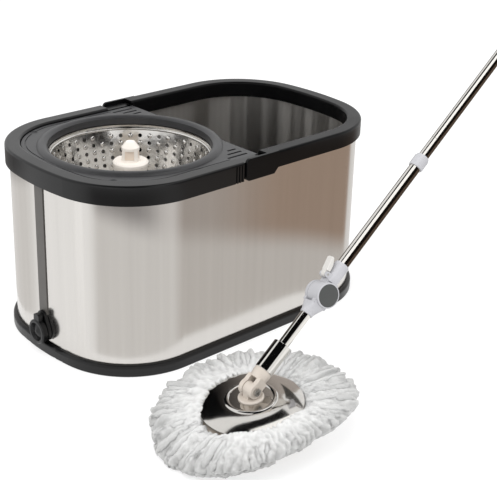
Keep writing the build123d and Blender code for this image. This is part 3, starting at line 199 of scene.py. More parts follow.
# Panels in front of and behind the steel band: how far out they stand, their bends round the two ends, their height
PANEL_OUT = 0.2
PANEL_BEND = 0.096
PANEL_LEFT = math.radians(72.0)
PANEL_RIGHT = math.radians(100.0)
PANEL_LEFT_STEPS = 16
PANEL_RIGHT_STEPS = 20
PANEL_HEIGHT = 0.235
# How much lower, per metre to the right, a panel turns dusky, and the glare at its left end
PANEL_SLANT = 0.29
PANEL_GLARE = (1.1, 1.1, 1.1, 1.0)
# Tones of a panel in the order they are mixed: along what, from and to where in metres, and between which two tones
PANEL_TONES = {
    "below": ("across", -0.125, -0.085, "pale", "sand"),
    "bend": ("across", -0.215, -0.135, "dusk", "gleam"),
    "straight": ("across", -0.06, 0.1, "tan", "warm"),
    "above": ("across", -0.125, -0.085, "bend", "straight"),
    "middle": ("slant", 0.1, 0.145, "below", "above"),
    "left_end": ("across", -0.266, -0.283, "middle", "glare"),
    "inside": ("across", 0.236, 0.25, "left_end", "pale"),
    "outside": ("across", -0.17, 0.0, "flag", "tan"),
}
# Cards that only mirrors see: colour setting, place in metres, heading and tilt in degrees, width and height
CARDS = {
    "grey_card": ("cool", (-0.53, -0.43, 0.04), -46.0, 90.0, (0.7, 0.08)),
    "front_flag": ("flag", (-0.1, -2.0, 1.5), 0.0, 90.0, (3.2, 1.5)),
    "top_flag": ("flag", (-0.35, -0.75, 1.9), 0.0, 0.0, (2.6, 2.5)),
}
# Soft lights: share of the key's power, place and side in metres, and the point that they look at
LIGHTS = {"key": (1.0, (-1.2, -0.6, 2.2), 1.6), "fill": (0.4, (1.6, -1.2, 1.6), 1.4)}
LIGHT_AIM = (0, -0.1, 0.1)

# Pole: its direction, its fold joint, and how far past the joint the boards are aimed, start and stop
POLE_AXIS = (0.78693502, 0.0, 0.61703588)
POLE_FOLD = (-0.0707, -0.3177, 0.1485)
POLE_MIDDLE = 0.25
POLE_SPAN = (0.05, 1.2)
# Boards beside the pole: both long edges, to the viewer's right of it and towards the viewer, then colour and glow
POLE_BOARDS = {
    "pale_board": ((-0.25, 0.25), (0.018, 0.25), "f0f0f0", 0.6),
    "dark_board": ((0.06, 0.6), (0.06, 0.035), "15110e", 0.0),
    "brown_board": ((0.06, 0.035), (0.06, -0.06), "5a4d43", 0.0),
    "edge_board": ((-0.06, -0.03), (-0.06, -0.1), "4c4a48", 0.0),
}


# Helpers

def linear(code):
    """Linear colour of an sRGB hex value."""
    made = []
    for place in (0, 2, 4):
        share = int(code[place:place + 2], 16) / 255
        made.append(share / 12.92 if share <= 0.04045 else ((share + 0.055) / 1.055) ** 2.4)
    return tuple(made)


def opaque(colour):
    """Colour with an alpha of one."""
    return (*colour, 1.0)


def colour_setting(label, about, code):
    """Colour that a user would change."""
    return bpy.props.FloatVectorProperty(name=label, description=about, subtype="COLOR", default=linear(code))


def length_setting(label, about, millimetres):
    """Length that a user would change."""
    return bpy.props.FloatProperty(name=label, description=about, unit="LENGTH", default=millimetres * MM)


def per_metre(millimetres):
    """Texture scale that gives a pattern of that real size."""
    return 1.0 / (millimetres * MM)


def add(tree, kind, inputs=None, **settings):
    """Add one shader node with its settings, and fill or link its inputs."""
    node = tree.nodes.new(kind)
    for name, value in settings.items():
        setattr(node, name, value)
    for name, value in (inputs or {}).items():
        if isinstance(value, bpy.types.NodeSocket):
            tree.links.new(value, node.inputs[name])
        else:
            node.inputs[name].default_value = value
    return node


def surface(name, **constants):
    """New material whose shader has the given constants on its own sockets."""
    made = bpy.data.materials.new(name)
    made.use_nodes = True
    shader = made.node_tree.nodes["Principled BSDF"]
    for socket, value in constants.items():
        shader.inputs[socket.replace("_", " ")].default_value = value
    return made, made.node_tree, shader


def feed(tree, output, shader, socket):
    """Link an output to a socket of the shader."""
    tree.links.new(output, shader.inputs[socket])


def dress(finish, *names):
    """Give CAD nodes one finish."""
    for name in names:
        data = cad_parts[name].data
        data.materials.clear()
        data.materials.append(finish)


def piece_from(bm, name, finish, body):
    """Turn a bmesh into a smooth piece that rides on a body."""
    bmesh.ops.recalc_face_normals(bm, faces=bm.faces)
    for face in bm.faces:
        face.smooth = True
    data = bpy.data.meshes.new(name)
    bm.to_mesh(data)
    bm.free()
    data.materials.append(finish)
    piece = bpy.data.objects.new(name, data)
    bpy.context.scene.collection.objects.link(piece)
    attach(piece, body)
    return piece


# Finishes

def moulded_polypropylene(name, colours, shine):
    """Black polypropylene from a spark-eroded mould: fine grain, soft highlights, slight mottling."""
    made, tree, shader = surface(name, Specular_IOR_Level=shine, IOR=1.49)
    place = add(tree, "ShaderNodeTexCoord").outputs["Object"]
    # Mottling from the flow in the mould, about 45 mm wide
    mottle = add(tree, "ShaderNodeTexNoise", {"Vector": place, "Scale": per_metre(45), "Detail": 3.0})
    tone = add(tree, "ShaderNodeMix", {0: mottle.outputs["Fac"], 6: opaque(colours.black),
                                       7: opaque(colours.black_light)}, data_type="RGBA")
    feed(tree, tone.outputs[2], shader, "Base Color")
    gloss = add(tree, "ShaderNodeMapRange", {"Value": mottle.outputs["Fac"], "To Min": 0.27, "To Max": 0.39})
    feed(tree, gloss.outputs[0], shader, "Roughness")
    # The mould's grain is about 0.3 mm and is drawn at 1 mm so that it shows
    grain = add(tree, "ShaderNodeTexNoise", {"Vector": place, "Scale": per_metre(1.0), "Detail": 2.0})
    bump = add(tree, "ShaderNodeBump", {"Height": grain.outputs["Fac"], "Strength": 0.12, "Distance": 0.1 * MM})
    feed(tree, bump.outputs["Normal"], shader, "Normal")
    return made


def polished_sheet(colours):
    """Bright-annealed stainless sheet: a soft mirror outside, a satin mill finish inside, faint upright roll lines."""
    made, tree, shader = surface("stainless_sheet", Metallic=1.0)
    place = add(tree, "ShaderNodeTexCoord").outputs["Object"]
    stretch = add(tree, "ShaderNodeMapping", {"Vector": place, "Scale": (1.0, 1.0, 0.02)})
    # Roll lines are far under 1 mm apart and are drawn at 9 mm so that they show
    lines = add(tree, "ShaderNodeTexNoise", {"Vector": stretch.outputs[0], "Scale": per_metre(9), "Detail": 4.0})
    tone = add(tree, "ShaderNodeMix", {0: lines.outputs["Fac"], 6: opaque(colours.sheet),
                                       7: opaque(colours.sheet_line)}, data_type="RGBA")
    feed(tree, tone.outputs[2], shader, "Base Color")
    # The band runs round the origin, so a face that looks away from it is on the outside
    facing = add(tree, "ShaderNodeNewGeometry").outputs["Normal"]
    outward = add(tree, "ShaderNodeVectorMath", {0: facing, 1: place}, operation="DOT_PRODUCT")
    polish = add(tree, "ShaderNodeMapRange", {"Value": outward.outputs["Value"], "From Min": -0.01, "From Max": 0.01,
                                              "To Min": 0.0, "To Max": 1.0})
    mirror = add(tree, "ShaderNodeMapRange", {"Value": lines.outputs["Fac"], "To Min": 0.14, "To Max": 0.2})
    # Drawing marks of the mill finish, about 30 mm wide and running upright
    drawn = add(tree, "ShaderNodeTexNoise", {"Vector": stretch.outputs[0], "Scale": per_metre(30), "Detail": 2.0})
    satin = add(tree, "ShaderNodeMapRange", {"Value": drawn.outputs["Fac"], "From Min": 0.38, "From Max": 0.62,
                                             "To Min": 0.38, "To Max": 0.85})
    gloss = add(tree, "ShaderNodeMix", {0: polish.outputs[0], 2: satin.outputs[0], 3: mirror.outputs[0]})
    feed(tree, gloss.outputs[0], shader, "Roughness")
    return made


def pressed_sheet(colours):
    """Deep-drawn perforated stainless sheet: brighter, with small pulls and dents in its mirror."""
    made, tree, shader = surface("pressed_stainless", Metallic=1.0)
    place = add(tree, "ShaderNodeTexCoord").outputs["Object"]
    # Pulls of the deep drawing, about 14 mm wide
    pulls = add(tree, "ShaderNodeTexNoise", {"Vector": place, "Scale": per_metre(14), "Detail": 2.0})
    tone = add(tree, "ShaderNodeMix", {0: pulls.outputs["Fac"], 6: opaque(colours.basket),
                                       7: opaque(colours.sheet_light)}, data_type="RGBA")
    feed(tree, tone.outputs[2], shader, "Base Color")
    gloss = add(tree, "ShaderNodeMapRange", {"Value": pulls.outputs["Fac"], "To Min": 0.09, "To Max": 0.2})
    feed(tree, gloss.outputs[0], shader, "Roughness")
    bump = add(tree, "ShaderNodeBump", {"Height": pulls.outputs["Fac"], "Strength": 0.25, "Distance": 0.6 * MM})
    feed(tree, bump.outputs["Normal"], shader, "Normal")
    return made


def spun_plate(colours):
    """Bright spun steel plate: a soft mirror that fine scuffs from wringing have blurred a little."""
    made, tree, shader = surface("bright_plate", Metallic=1.0)
    place = add(tree, "ShaderNodeTexCoord").outputs["Object"]
    # Scuffs are hair-fine and are drawn as patches of 6 mm so that they show
    scuffs = add(tree, "ShaderNodeTexNoise", {"Vector": place, "Scale": per_metre(6), "Detail": 4.0})
    tone = add(tree, "ShaderNodeMix", {0: scuffs.outputs["Fac"], 6: opaque(colours.sheet),
                                       7: opaque(colours.chrome)}, data_type="RGBA")
    feed(tree, tone.outputs[2], shader, "Base Color")
    gloss = add(tree, "ShaderNodeMapRange", {"Value": scuffs.outputs["Fac"], "To Min": 0.07, "To Max": 0.14})
    feed(tree, gloss.outputs[0], shader, "Roughness")
    return made


def chrome_plate(colours):
    """Chrome plate on steel tube: a clear mirror with a trace of orange peel."""
    made, tree, shader = surface("chrome_plate", Metallic=1.0)
    place = add(tree, "ShaderNodeTexCoord").outputs["Object"]
    # Orange peel is about 2 mm wide and is drawn at 12 mm so that it shows
    peel = add(tree, "ShaderNodeTexNoise", {"Vector": place, "Scale": per_metre(12), "Detail": 2.0})
    tone = add(tree, "ShaderNodeMix", {0: peel.outputs["Fac"], 6: opaque(colours.chrome),
                                       7: opaque(colours.sheet_light)}, data_type="RGBA")
    feed(tree, tone.outputs[2], shader, "Base Color")
    gloss = add(tree, "ShaderNodeMapRange", {"Value": peel.outputs["Fac"], "To Min": 0.03, "To Max": 0.08})
    feed(tree, gloss.outputs[0], shader, "Roughness")
    return made


def turned_steel(colours):
    """Zinc-bright steel of pins and screws: fine turning marks and a duller shine."""
    made, tree, shader = surface("zinc_steel", Metallic=1.0)
    place = add(tree, "ShaderNodeTexCoord").outputs["Object"]
    # Turning marks are about 0.1 mm apart and are drawn at 1.5 mm so that they show
    marks = add(tree, "ShaderNodeTexNoise", {"Vector": place, "Scale": per_metre(1.5), "Detail": 4.0})
    tone = add(tree, "ShaderNodeMix", {0: marks.outputs["Fac"], 6: opaque(colours.hardware),
                                       7: opaque(colours.chrome)}, data_type="RGBA")
    feed(tree, tone.outputs[2], shader, "Base Color")
    gloss = add(tree, "ShaderNodeMapRange", {"Value": marks.outputs["Fac"], "To Min": 0.22, "To Max": 0.4})
    feed(tree, gloss.outputs[0], shader, "Roughness")
    return made


def moulded_plastic(name, dark, light, rough, grain_mm):
    """Moulded plastic of one colour: a satin skin with a little flow mottling and a fine grain."""
    made, tree, shader = surface(name, Specular_IOR_Level=0.5, IOR=1.52)
    place = add(tree, "ShaderNodeTexCoord").outputs["Object"]
    # Mottling from the flow in the mould, about 18 mm wide
    flow = add(tree, "ShaderNodeTexNoise", {"Vector": place, "Scale": per_metre(18), "Detail": 3.0})
    tone = add(tree, "ShaderNodeMix", {0: flow.outputs["Fac"], 6: opaque(dark), 7: opaque(light)}, data_type="RGBA")
    feed(tree, tone.outputs[2], shader, "Base Color")
    gloss = add(tree, "ShaderNodeMapRange", {"Value": flow.outputs["Fac"], "To Min": rough,
                                             "To Max": rough + MOTTLE_ROUGHER})
    feed(tree, gloss.outputs[0], shader, "Roughness")
    # The grain is about 0.3 mm and is drawn at 1 mm or more so that it shows
    grain = add(tree, "ShaderNodeTexNoise", {"Vector": place, "Scale": per_metre(grain_mm), "Detail": 2.0})
    bump = add(tree, "ShaderNodeBump", {"Height": grain.outputs["Fac"], "Strength": 0.08, "Distance": 0.1 * MM})
    feed(tree, bump.outputs["Normal"], shader, "Normal")
    return made


def microfibre(colours):
    """Loop-pile microfibre yarn: bright white, downy, and lit through, so its shadows stay pale. Its colour carries
    painted shade in grooves, in dips and towards the tips.
    """
    made, tree, shader = surface("microfibre_yarn", Roughness=0.95, Specular_IOR_Level=0.1, Sheen_Weight=0.2,
                                 Sheen_Roughness=0.6, Subsurface_Weight=0.5, Subsurface_Scale=6 * MM,
                                 Subsurface_Radius=(1.0, 1.0, 1.0))
    place = add(tree, "ShaderNodeTexCoord").outputs["Object"]
    # Painted shade: the vertex attribute mixes the yarn towards its deep colour in grooves, in dips between clumps and
    # towards the tips, along with a random tone per strand
    shade = add(tree, "ShaderNodeAttribute", attribute_name="shade")
    tone = add(tree, "ShaderNodeMix", {0: shade.outputs["Fac"], 6: opaque(colours.yarn_in_painted_shade),
                                       7: opaque(colours.yarn)}, data_type="RGBA")
    feed(tree, tone.outputs[2], shader, "Base Color")
    # Single loops of the pile are about 0.5 mm and are drawn at 3 mm so that they show
    pile = add(tree, "ShaderNodeTexNoise", {"Vector": place, "Scale": per_metre(3.0), "Detail": 5.0,
                                            "Roughness": 0.7})
    bump = add(tree, "ShaderNodeBump", {"Height": pile.outputs["Fac"], "Strength": 1.0, "Distance": 1.5 * MM})
    feed(tree, bump.outputs["Normal"], shader, "Normal")
    return made


# Settings

class SPINMOP_PG_colours(bpy.types.PropertyGroup):
    """Colours of the set."""
    black: colour_setting("Black", "Bucket plastic", "060607")
    black_light: colour_setting("Black, light", "Lighter mottling of the plastic", "0d0d0e")
    deck: colour_setting("Deck", "Deck round the basket", "2c2c2d")
    sheet: colour_setting("Sheet", "Steel band and plate", "cecbc7")
    sheet_light: colour_setting("Sheet, light", "Lighter parts of the basket and the tubes", "dcd9d4")
    sheet_line: colour_setting("Sheet, lines", "Roll lines of the steel band", "d8d5d1")
    basket: colour_setting("Basket", "Basket steel", "e2e0dd")
    chrome: colour_setting("Chrome", "Tubes, and lighter parts of the plate and the hardware", "d9d6d1")
    hardware: colour_setting("Hardware", "Pins and screws", "9d9d9b")
    white: colour_setting("White", "Fold joint and collar", "b4b4b8")
    ivory: colour_setting("Ivory", "Hub of the basket", "ece4da")
    bone: colour_setting("Bone", "Thumb lever", "cfccc8")
    cream: colour_setting("Cream", "Yoke and bracket", "c4baaf")
    # Painted shade and warm painted reflection of the hub's window recesses
    beige: colour_setting("Beige", "Window panels of the hub", "e4d2c0")
    grey: colour_setting("Grey", "Cap of the fold joint, and the grip", "3d3f3e")
    strip: colour_setting("Strip", "Seam strip", "45423f")
    nylon: colour_setting("Nylon", "Bushes and nuts inside", "dcd8cc")
    rubber: colour_setting("Rubber", "Gaskets", "1b1b1b")
    yarn: colour_setting("Yarn", "Mop strands", "e4e4e3")
    # Painted shade: the deep colour of the yarn at the tips, in grooves and between the strands and locks
    yarn_in_painted_shade: colour_setting("Yarn, deep", "Yarn at the tips and between the strands", "b2b2b1")


class SPINMOP_PG_strands(bpy.types.PropertyGroup):
    """Sizes of the mop's fleece and strands."""
    reach: length_setting("Reach", "Radius of the mop at its tips", 112.0)
    thickness: length_setting("Thickness", "Thickness of a layer of fleece", 10.0)
    layers: bpy.props.IntProperty(name="Layers", description="Layers of fleece", default=3)
    lobes: bpy.props.IntProperty(name="Lobes", description="Locks round one layer", default=58)
    radius: length_setting("Radius", "Half the width of a strand", 4.4)
    sunk: length_setting("Sunk", "How deep a strand lies in the fleece", 3.2)
    strands: bpy.props.IntProperty(name="Strands", description="Strands that lie in the fleece", default=120)
    sides: bpy.props.IntProperty(name="Sides", description="Sides of a strand", default=6)
    seed: bpy.props.IntProperty(name="Seed", description="Seed of the strands' disorder", default=11)


class SPINMOP_PG_basket(bpy.types.PropertyGroup):
    """Sizes of the basket's details."""
    dimple: length_setting("Dimple", "Radius of a pressed dimple", 3.5)
    dimple_rise: length_setting("Dimple rise", "Height of a dimple", 0.85)
    bead: length_setting("Bead", "Radius of the bead along the upper edge", 1.9)
    panel: length_setting("Panel", "Side of a hub window panel", 11.4)


class SPINMOP_PG_studio(bpy.types.PropertyGroup):
    """Light of the studio."""
    surround: bpy.props.FloatProperty(name="Surround", description="Brightness of the white surround", default=1.0)
    table: bpy.props.FloatProperty(name="Table", description="Brightness of the lit floor itself", default=0.64)
    key: bpy.props.FloatProperty(name="Key", description="Power of the key light", unit="POWER", default=22.0)
    paint: colour_setting("Floor", "Paint of the floor", "aeaeae")
    pale: colour_setting("Panel, pale", "Lower left of the panels that the steel reflects", "eae8e6")
    sand: colour_setting("Panel, sand", "Lower right of a panel", "d4d0cc")
    dusk: colour_setting("Panel, dusk", "Upper left of a panel", "9c9998")
    gleam: colour_setting("Panel, gleam", "Stripe where the left bend of a panel starts", "dedbd9")
    tan: colour_setting("Panel, tan", "Upper middle of a panel", "b6aea8")
    warm: colour_setting("Panel, warm", "Upper right of a panel", "ab9788")
    cool: colour_setting("Grey card", "Grey that the basket end reflects", "a39d97")
    flag: colour_setting("Flag", "Dark flags that the plate and the basket reflect", "0c0c0d")


# Pieces

class SPINMOP_OT_mould_plastics(bpy.types.Operator):
    """Give the plastic, nylon and rubber parts their finishes"""
    bl_idname = "spinmop.mould_plastics"
    bl_label = "Mould plastics"

    def execute(self, context):
        colours = context.scene.spinmop_colours
        dress(moulded_polypropylene("black_polypropylene", colours, BLACK_SHINE), "base_tray", "rim", "basket_cradle",
              "drain_body", "drain_nut", "drain_knob")
        dress(moulded_polypropylene("dull_polypropylene", colours, DULL_SHINE), "handle_bail")
        for name, (main_colour, light, rough, grain_mm, parts) in PLASTICS.items():
            dress(moulded_plastic(name, getattr(colours, main_colour), linear(light), rough, grain_mm), *parts)
        return {"FINISHED"}


class SPINMOP_OT_polish_metals(bpy.types.Operator):
    """Give the sheet, chrome and hardware parts their finishes"""
    bl_idname = "spinmop.polish_metals"
    bl_label = "Polish metals"

    def execute(self, context):
        colours = context.scene.spinmop_colours
        dress(polished_sheet(colours), "steel_wall")
        dress(spun_plate(colours), "head_plate")
        dress(chrome_plate(colours), "pole_sleeve", "lower_tube", "mid_tube", "upper_tube", "top_tube")
        dress(turned_steel(colours), "handle_pivots", "cradle_screws", "spindle_pin", "hub_screws", "bracket_screw",
              "tilt_pin", "tilt_nut", "fold_pin", "lever_pin", "lever_spring", "drive_screw", "tube_coupler")
        return {"FINISHED"}


class SPINMOP_OT_press_basket(bpy.types.Operator):
    """Finish the basket, press a dimple between each pair of its holes and roll a bead along its edge"""
    bl_idname = "spinmop.press_basket"
    bl_label = "Press basket"

    def execute(self, context):
        sizes = context.scene.spinmop_basket
        finish = pressed_sheet(context.scene.spinmop_colours)
        dress(finish, "basket_bowl")
        low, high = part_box("basket_bowl")
        axis = (low + high) / 2
        foot_radius, foot_z = WALL_FOOT_MM
        head_radius, head_z = WALL_HEAD_MM
        slope = (head_radius - foot_radius) / (head_z - foot_z)
        step = 2 * math.pi / HOLES_PER_ROW
        bm = bmesh.new()
        for row, height in enumerate(HOLE_ROWS_MM):
            radius = (foot_radius + slope * (height - foot_z)) * MM
            for hole in range(HOLES_PER_ROW):
                turn = Matrix.Rotation(step * (hole + 0.5 + row % 2 / 2), 4, "Z")
                lean = Matrix.Rotation(math.pi / 2 + math.atan(slope), 4, "Y")
                place = Matrix.Translation((axis.x, axis.y, height * MM)) @ turn @ Matrix.Translation((radius, 0, 0))
                size = Matrix.Diagonal((sizes.dimple, sizes.dimple, sizes.dimple_rise, 1.0))
                bmesh.ops.create_uvsphere(bm, u_segments=10, v_segments=6, radius=1.0, matrix=place @ lean @ size)
        piece_from(bm, "basket_dimples", finish, "basket")
        self.roll_bead(axis, finish, sizes.bead)
        return {"FINISHED"}

    def roll_bead(self, axis, finish, bead):
        """Roll a round bead along the inside of the basket's upper edge."""
        bm = bmesh.new()
        place = Matrix.Translation((axis.x + BEAD_MM[0] * MM, axis.y, BEAD_MM[1] * MM))
        upright = Matrix.Rotation(math.pi / 2, 4, "X")
        bmesh.ops.create_circle(bm, segments=12, radius=bead, matrix=place @ upright)
        bmesh.ops.spin(bm, geom=bm.verts[:] + bm.edges[:], cent=axis, axis=(0, 0, 1), angle=2 * math.pi, steps=120,
                       use_merge=True)
        piece_from(bm, "basket_bead", finish, "basket")


class SPINMOP_OT_fit_hub_panels(bpy.types.Operator):
    """Set a beige panel into each window of the hub's post, as painted shade and painted reflection of its recess"""
    bl_idname = "spinmop.fit_hub_panels"
    bl_label = "Fit hub panels"

    def execute(self, context):
        side = context.scene.spinmop_basket.panel
        colours = context.scene.spinmop_colours
        low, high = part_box("basket_hub")
        axis = (low + high) / 2
        bm = bmesh.new()
        for angle in WINDOW_ANGLES:
            turn = Matrix.Rotation(math.radians(angle), 4, "Z")
            place = Matrix.Translation((axis.x, axis.y, WINDOW_FOOT_MM * MM + side / 2)) @ turn
            out = Matrix.Translation((WINDOW_RADIUS_MM * MM, 0, 0))
            size = Matrix.Diagonal((WINDOW_THICKNESS_MM * MM, side, side, 1.0))
            bmesh.ops.create_cube(bm, size=1.0, matrix=place @ out @ size)
        bmesh.ops.bevel(bm, geom=bm.edges[:], offset=WINDOW_ROUND_MM * MM, segments=2, profile=0.5, affect="EDGES",
                        material=-1)
        light, rough, grain_mm = WINDOW_SHADE_FINISH
        # The beige is painted shade and warm painted reflection of the window recesses
        finish = moulded_plastic("beige_abs", colours.beige, linear(light), rough, grain_mm)
        piece_from(bm, "hub_panels", finish, "basket")
        return {"FINISHED"}


class SPINMOP_OT_lay_strands(bpy.types.Operator):
    """Lay the mop's fleece in layers from the refill's ring out to the floor, and strands in it"""
    bl_idname = "spinmop.lay_strands"
    bl_label = "Lay strands"

    def execute(self, context):
        sizes = context.scene.spinmop_strands
        chance = random.Random(sizes.seed)
        low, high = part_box("head_plate")
        self.centre = (low + high) / 2
        self.pile = bmesh.new()
        # Vertex attribute for the yarn's random tone and its painted shade
        self.pile.verts.layers.float.new("shade")
        self.template = self.straight_strand(sizes.sides)
        for layer in range(sizes.layers):
            self.lay_fleece((layer + 0.5) / (sizes.layers - 0.5), sizes, chance)
        for place in range(sizes.strands):
            angle = 2 * math.pi * (place + chance.uniform(-0.5, 0.5)) / sizes.strands
            rise = chance.choice(STRAND_RISES)
            lift = chance.uniform(-STRAND_LIFT_MM, STRAND_LIFT_MM) * MM - sizes.sunk
            length = chance.uniform(*STRAND_LENGTHS)
            points = self.long_strand(angle, rise, length, lift, sizes, chance.uniform(*STRAND_DROOPS))
            self.lay(points, angle, sizes.radius, chance)
        finish = microfibre(context.scene.spinmop_colours)
        piece = piece_from(self.pile, "mop_strands", finish, "mop_head")
        self.template.free()
        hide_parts("mop_pad")
        return {"FINISHED"}

    def straight_strand(self, sides):
        """Closed tube of radius one along Z from 0 to 1, with rings that crowd towards its tip."""
        bm = bmesh.new()
        bm.verts.layers.float.new("shade")
        middle = Matrix.Translation((0, 0, 0.5))
        bmesh.ops.create_cone(bm, cap_ends=True, segments=sides, radius1=1.0, radius2=1.0, depth=1.0, matrix=middle)
        for stop in STRAND_STOPS:
            everything = bm.verts[:] + bm.edges[:] + bm.faces[:]
            bmesh.ops.bisect_plane(bm, geom=everything, dist=1e-6, plane_co=(0, 0, stop), plane_no=(0, 0, 1))
        return bm

    def rim_height(self, angle):
        """Height of the leaning plate's edge at an angle round the head."""
        return self.centre.z - PLATE_DROP_MM * MM + PLATE_RADIUS_MM * MM * math.sin(HEAD_LEAN) * math.cos(angle)

    def facing(self, angle):
        """Share, from 0 to 1, by which an angle round the head faces the viewer."""
        return max(0.0, math.cos(angle - FRONT_HEADING))

    def locks(self, count, chance):
        """Locks of uneven width round the head: where each starts, its width, its extra length and its lift."""
        widths = [chance.uniform(*LOCK_WIDTHS) for _ in range(count)]
        turn = 2 * math.pi / sum(widths)
        made, start = [], 0.0
        for width in widths:
            longer = chance.uniform(-LOCK_LONGER_MM, LOCK_LONGER_MM) * MM
            made.append((start, width * turn, longer, chance.uniform(-LOCK_LIFT_MM, LOCK_LIFT_MM) * MM))
            start += width * turn
        return made

    def lay_fleece(self, rise, sizes, chance):
        """Lay one layer of fleece: a flat ring, bent out and down, swollen into locks and ruffled."""
        locks = self.locks(sizes.lobes, chance)
        starts = [lock[0] for lock in locks]
        half = sizes.thickness / 2
        waves_round, waves_along, waves_between = WANDER_WAVES
        ring = bmesh.new()
        shade = ring.verts.layers.float.new("shade")
        line = [ring.verts.new((1 + row, 0, 0)) for row in range(2 * FLEECE_ROWS)]
        edges = [ring.edges.new(pair) for pair in zip(line, line[1:])]
        bmesh.ops.spin(ring, geom=line + edges, axis=(0, 0, 1), angle=2 * math.pi, steps=FLEECE_STEPS, use_merge=True)
        bmesh.ops.bridge_loops(ring, edges=[edge for edge in ring.edges if edge.is_boundary])
        for vert in ring.verts:
            row = round(vert.co.to_2d().length) - 1
            angle = math.atan2(vert.co.y, vert.co.x)
            out = Vector((math.cos(angle), math.sin(angle), 0))
            upper = row < FLEECE_ROWS
            t = (row if upper else 2 * FLEECE_ROWS - 1 - row) / (FLEECE_ROWS - 1)
            spot = Vector((waves_round * out.x, waves_round * out.y, waves_along * t + waves_between * rise))
            turned = (angle + WANDER * noise.noise(spot)) % (2 * math.pi)
            start, width, longer, lift = locks[bisect.bisect_right(starts, turned) - 1]
            hill = math.sin(math.pi * (turned - start) / width)
            points = self.long_strand(angle, rise, 1.0, lift * t, sizes, 1.0)
            if rise >= 1:
                points = self.curl(points, angle, hill)
            radius, height = self.bend(points, t)
            radius += (longer + LOCK_NOTCH_MM * MM * (math.sqrt(max(0.0, hill)) - 1)) * t * t
            past = max(0.0, t - FLEECE_ROUND, FLEECE_INNER_ROUND * (1 - FLEECE_ROUND - t))
            past /= ROUND_END - FLEECE_ROUND
            height += half * (math.sqrt(max(0.0, 1 - past * past)) * (1 if upper else -1) - 1)
            height += LOCK_GROOVE_MM * MM * (hill * hill - 1) * t
            spot = Vector((radius * out.x, radius * out.y, height))
            clump = noise.noise(spot * per_metre(CLUMP_MM[0]))
            fine = noise.noise(spot * per_metre(TUFT_MM[0]))
            ruffle = (CLUMP_MM[1] * clump + TUFT_MM[1] * fine) * MM
            radius += ruffle * t
            height = max(height + ruffle, FLEECE_CLEAR_MM * MM)
            vert.co = Vector((self.centre.x, self.centre.y, height)) + out * radius
            # Painted shade: darker in the grooves between locks, in dips between clumps and tufts, and towards the
            # tips; lighter on raised clumps
            tone = SHADE_MEAN + SHADE_CLUMP * (clump + fine) + SHADE_GROOVE * (hill * hill - 1) - SHADE_TIP * t * t
            vert[shade] = min(1.0, max(0.0, tone))
        self.keep(ring)

    def curl(self, points, angle, hill):
        """Draw the inner edge of the top layer in over the plate's edge, at the front and at the back."""
        apart = min(math.acos(math.cos(angle - heading)) for heading in CURL_HEADINGS)
        near = max(0.0, 1 - (apart / CURL_HALF) ** CURL_FALL)
        between, on_top = CURL_SHARES
        (start, start_height), (crest, crest_height), shoulder, tip = points
        start -= CURL_MM * MM * near * (between + on_top * hill)
        start_height += CURL_RISE_MM[0] * MM * near
        crest_height += CURL_RISE_MM[1] * MM * near
        return (start, start_height), (crest, crest_height), shoulder, tip

    def bend(self, points, t):
        """Distance and height at a share of the way along four points."""
        rest = 1 - t
        weights = (rest ** 3, 3 * rest * rest * t, 3 * rest * t * t, t ** 3)
        return (sum(w * p[0] for w, p in zip(weights, points)), sum(w * p[1] for w, p in zip(weights, points)))

    def keep(self, made):
        """Add a finished strand or fleece to the pile."""
        data = bpy.data.meshes.new("strand")
        made.to_mesh(data)
        made.free()
        self.pile.from_mesh(data)
        bpy.data.meshes.remove(data)

    def long_strand(self, angle, rise, length, lift, sizes, droop):
        """Distances and heights of a strand from the ring out to its tip."""
        front = self.facing(angle)
        rim = self.rim_height(angle)
        crest = rim + (CREST_RISE_MM + CREST_FRONT_MM * front ** 2 - CREST_LOWER_MM * (1 - rise)) * MM + lift
        drawn_out = DRAWN_OUT_MM * max(0.0, math.cos(angle - OUT_HEADING)) ** 2
        low_side = LOW_DRAWN_OUT_MM * max(0.0, math.cos(angle - LOW_HEADING)) ** 3
        upper = sizes.reach + (drawn_out + low_side - UPPER_DRAWN_IN_MM * front ** 3) * MM
        lower = sizes.reach - (LOWER_SHORT_MM + LOWER_DRAWN_IN_MM * front ** 1.5) * MM
        upper_tip = (LOW_TIPS_MM + HIGH_TIPS_MM * abs(math.sin((angle - LOW_HEADING) / 2))) * MM
        reach = (lower + (upper - lower) * rise) * length
        lower_tip = (LOWER_TIPS_MM + LOWER_RISE_MM * math.sin((angle - LOW_HEADING) / 2) ** 2) * MM
        tip = lower_tip + (upper_tip - lower_tip) * rise * droop + lift * rise
        start = (START_MM[0] * MM, rim - START_MM[1] * MM)
        shoulder = (SHOULDER_SHARE * reach + SHOULDER_MM * MM, crest + SHOULDER_DROP * (tip - crest))
        return start, (CREST_MM * MM, crest), shoulder, (reach, tip)

    def lay(self, points, angle, width, chance):
        """Bend one strand along four points given as distance from the axis and height, and round its tip."""
        width *= chance.uniform(*STRAND_WIDTHS)
        wave = chance.uniform(*WAVE_MM) * MM
        turns = chance.uniform(*WAVE_TURNS)
        start = chance.uniform(0, 2 * math.pi)
        sweep = chance.uniform(-SWEEP, SWEEP)
        tone = chance.uniform(*STRAND_TONES)
        strand = self.template.copy()
        shade = strand.verts.layers.float["shade"]
        rings = {}

        def along(t):
            radius, height = self.bend(points, t)
            turn = angle + sweep * t
            out = Vector((math.cos(turn), math.sin(turn), 0))
            across = Vector((-out.y, out.x, 0)) * (wave * t * math.sin(start + 2 * math.pi * turns * t))
            place = Vector((self.centre.x, self.centre.y, 0)) + out * radius + across
            upright = math.cos(start + 2 * UPRIGHT_TURNS * math.pi * turns * t)
            place.z = max(height + UPRIGHT_SHARE * wave * t * upright, width * STRAND_BED)
            return place

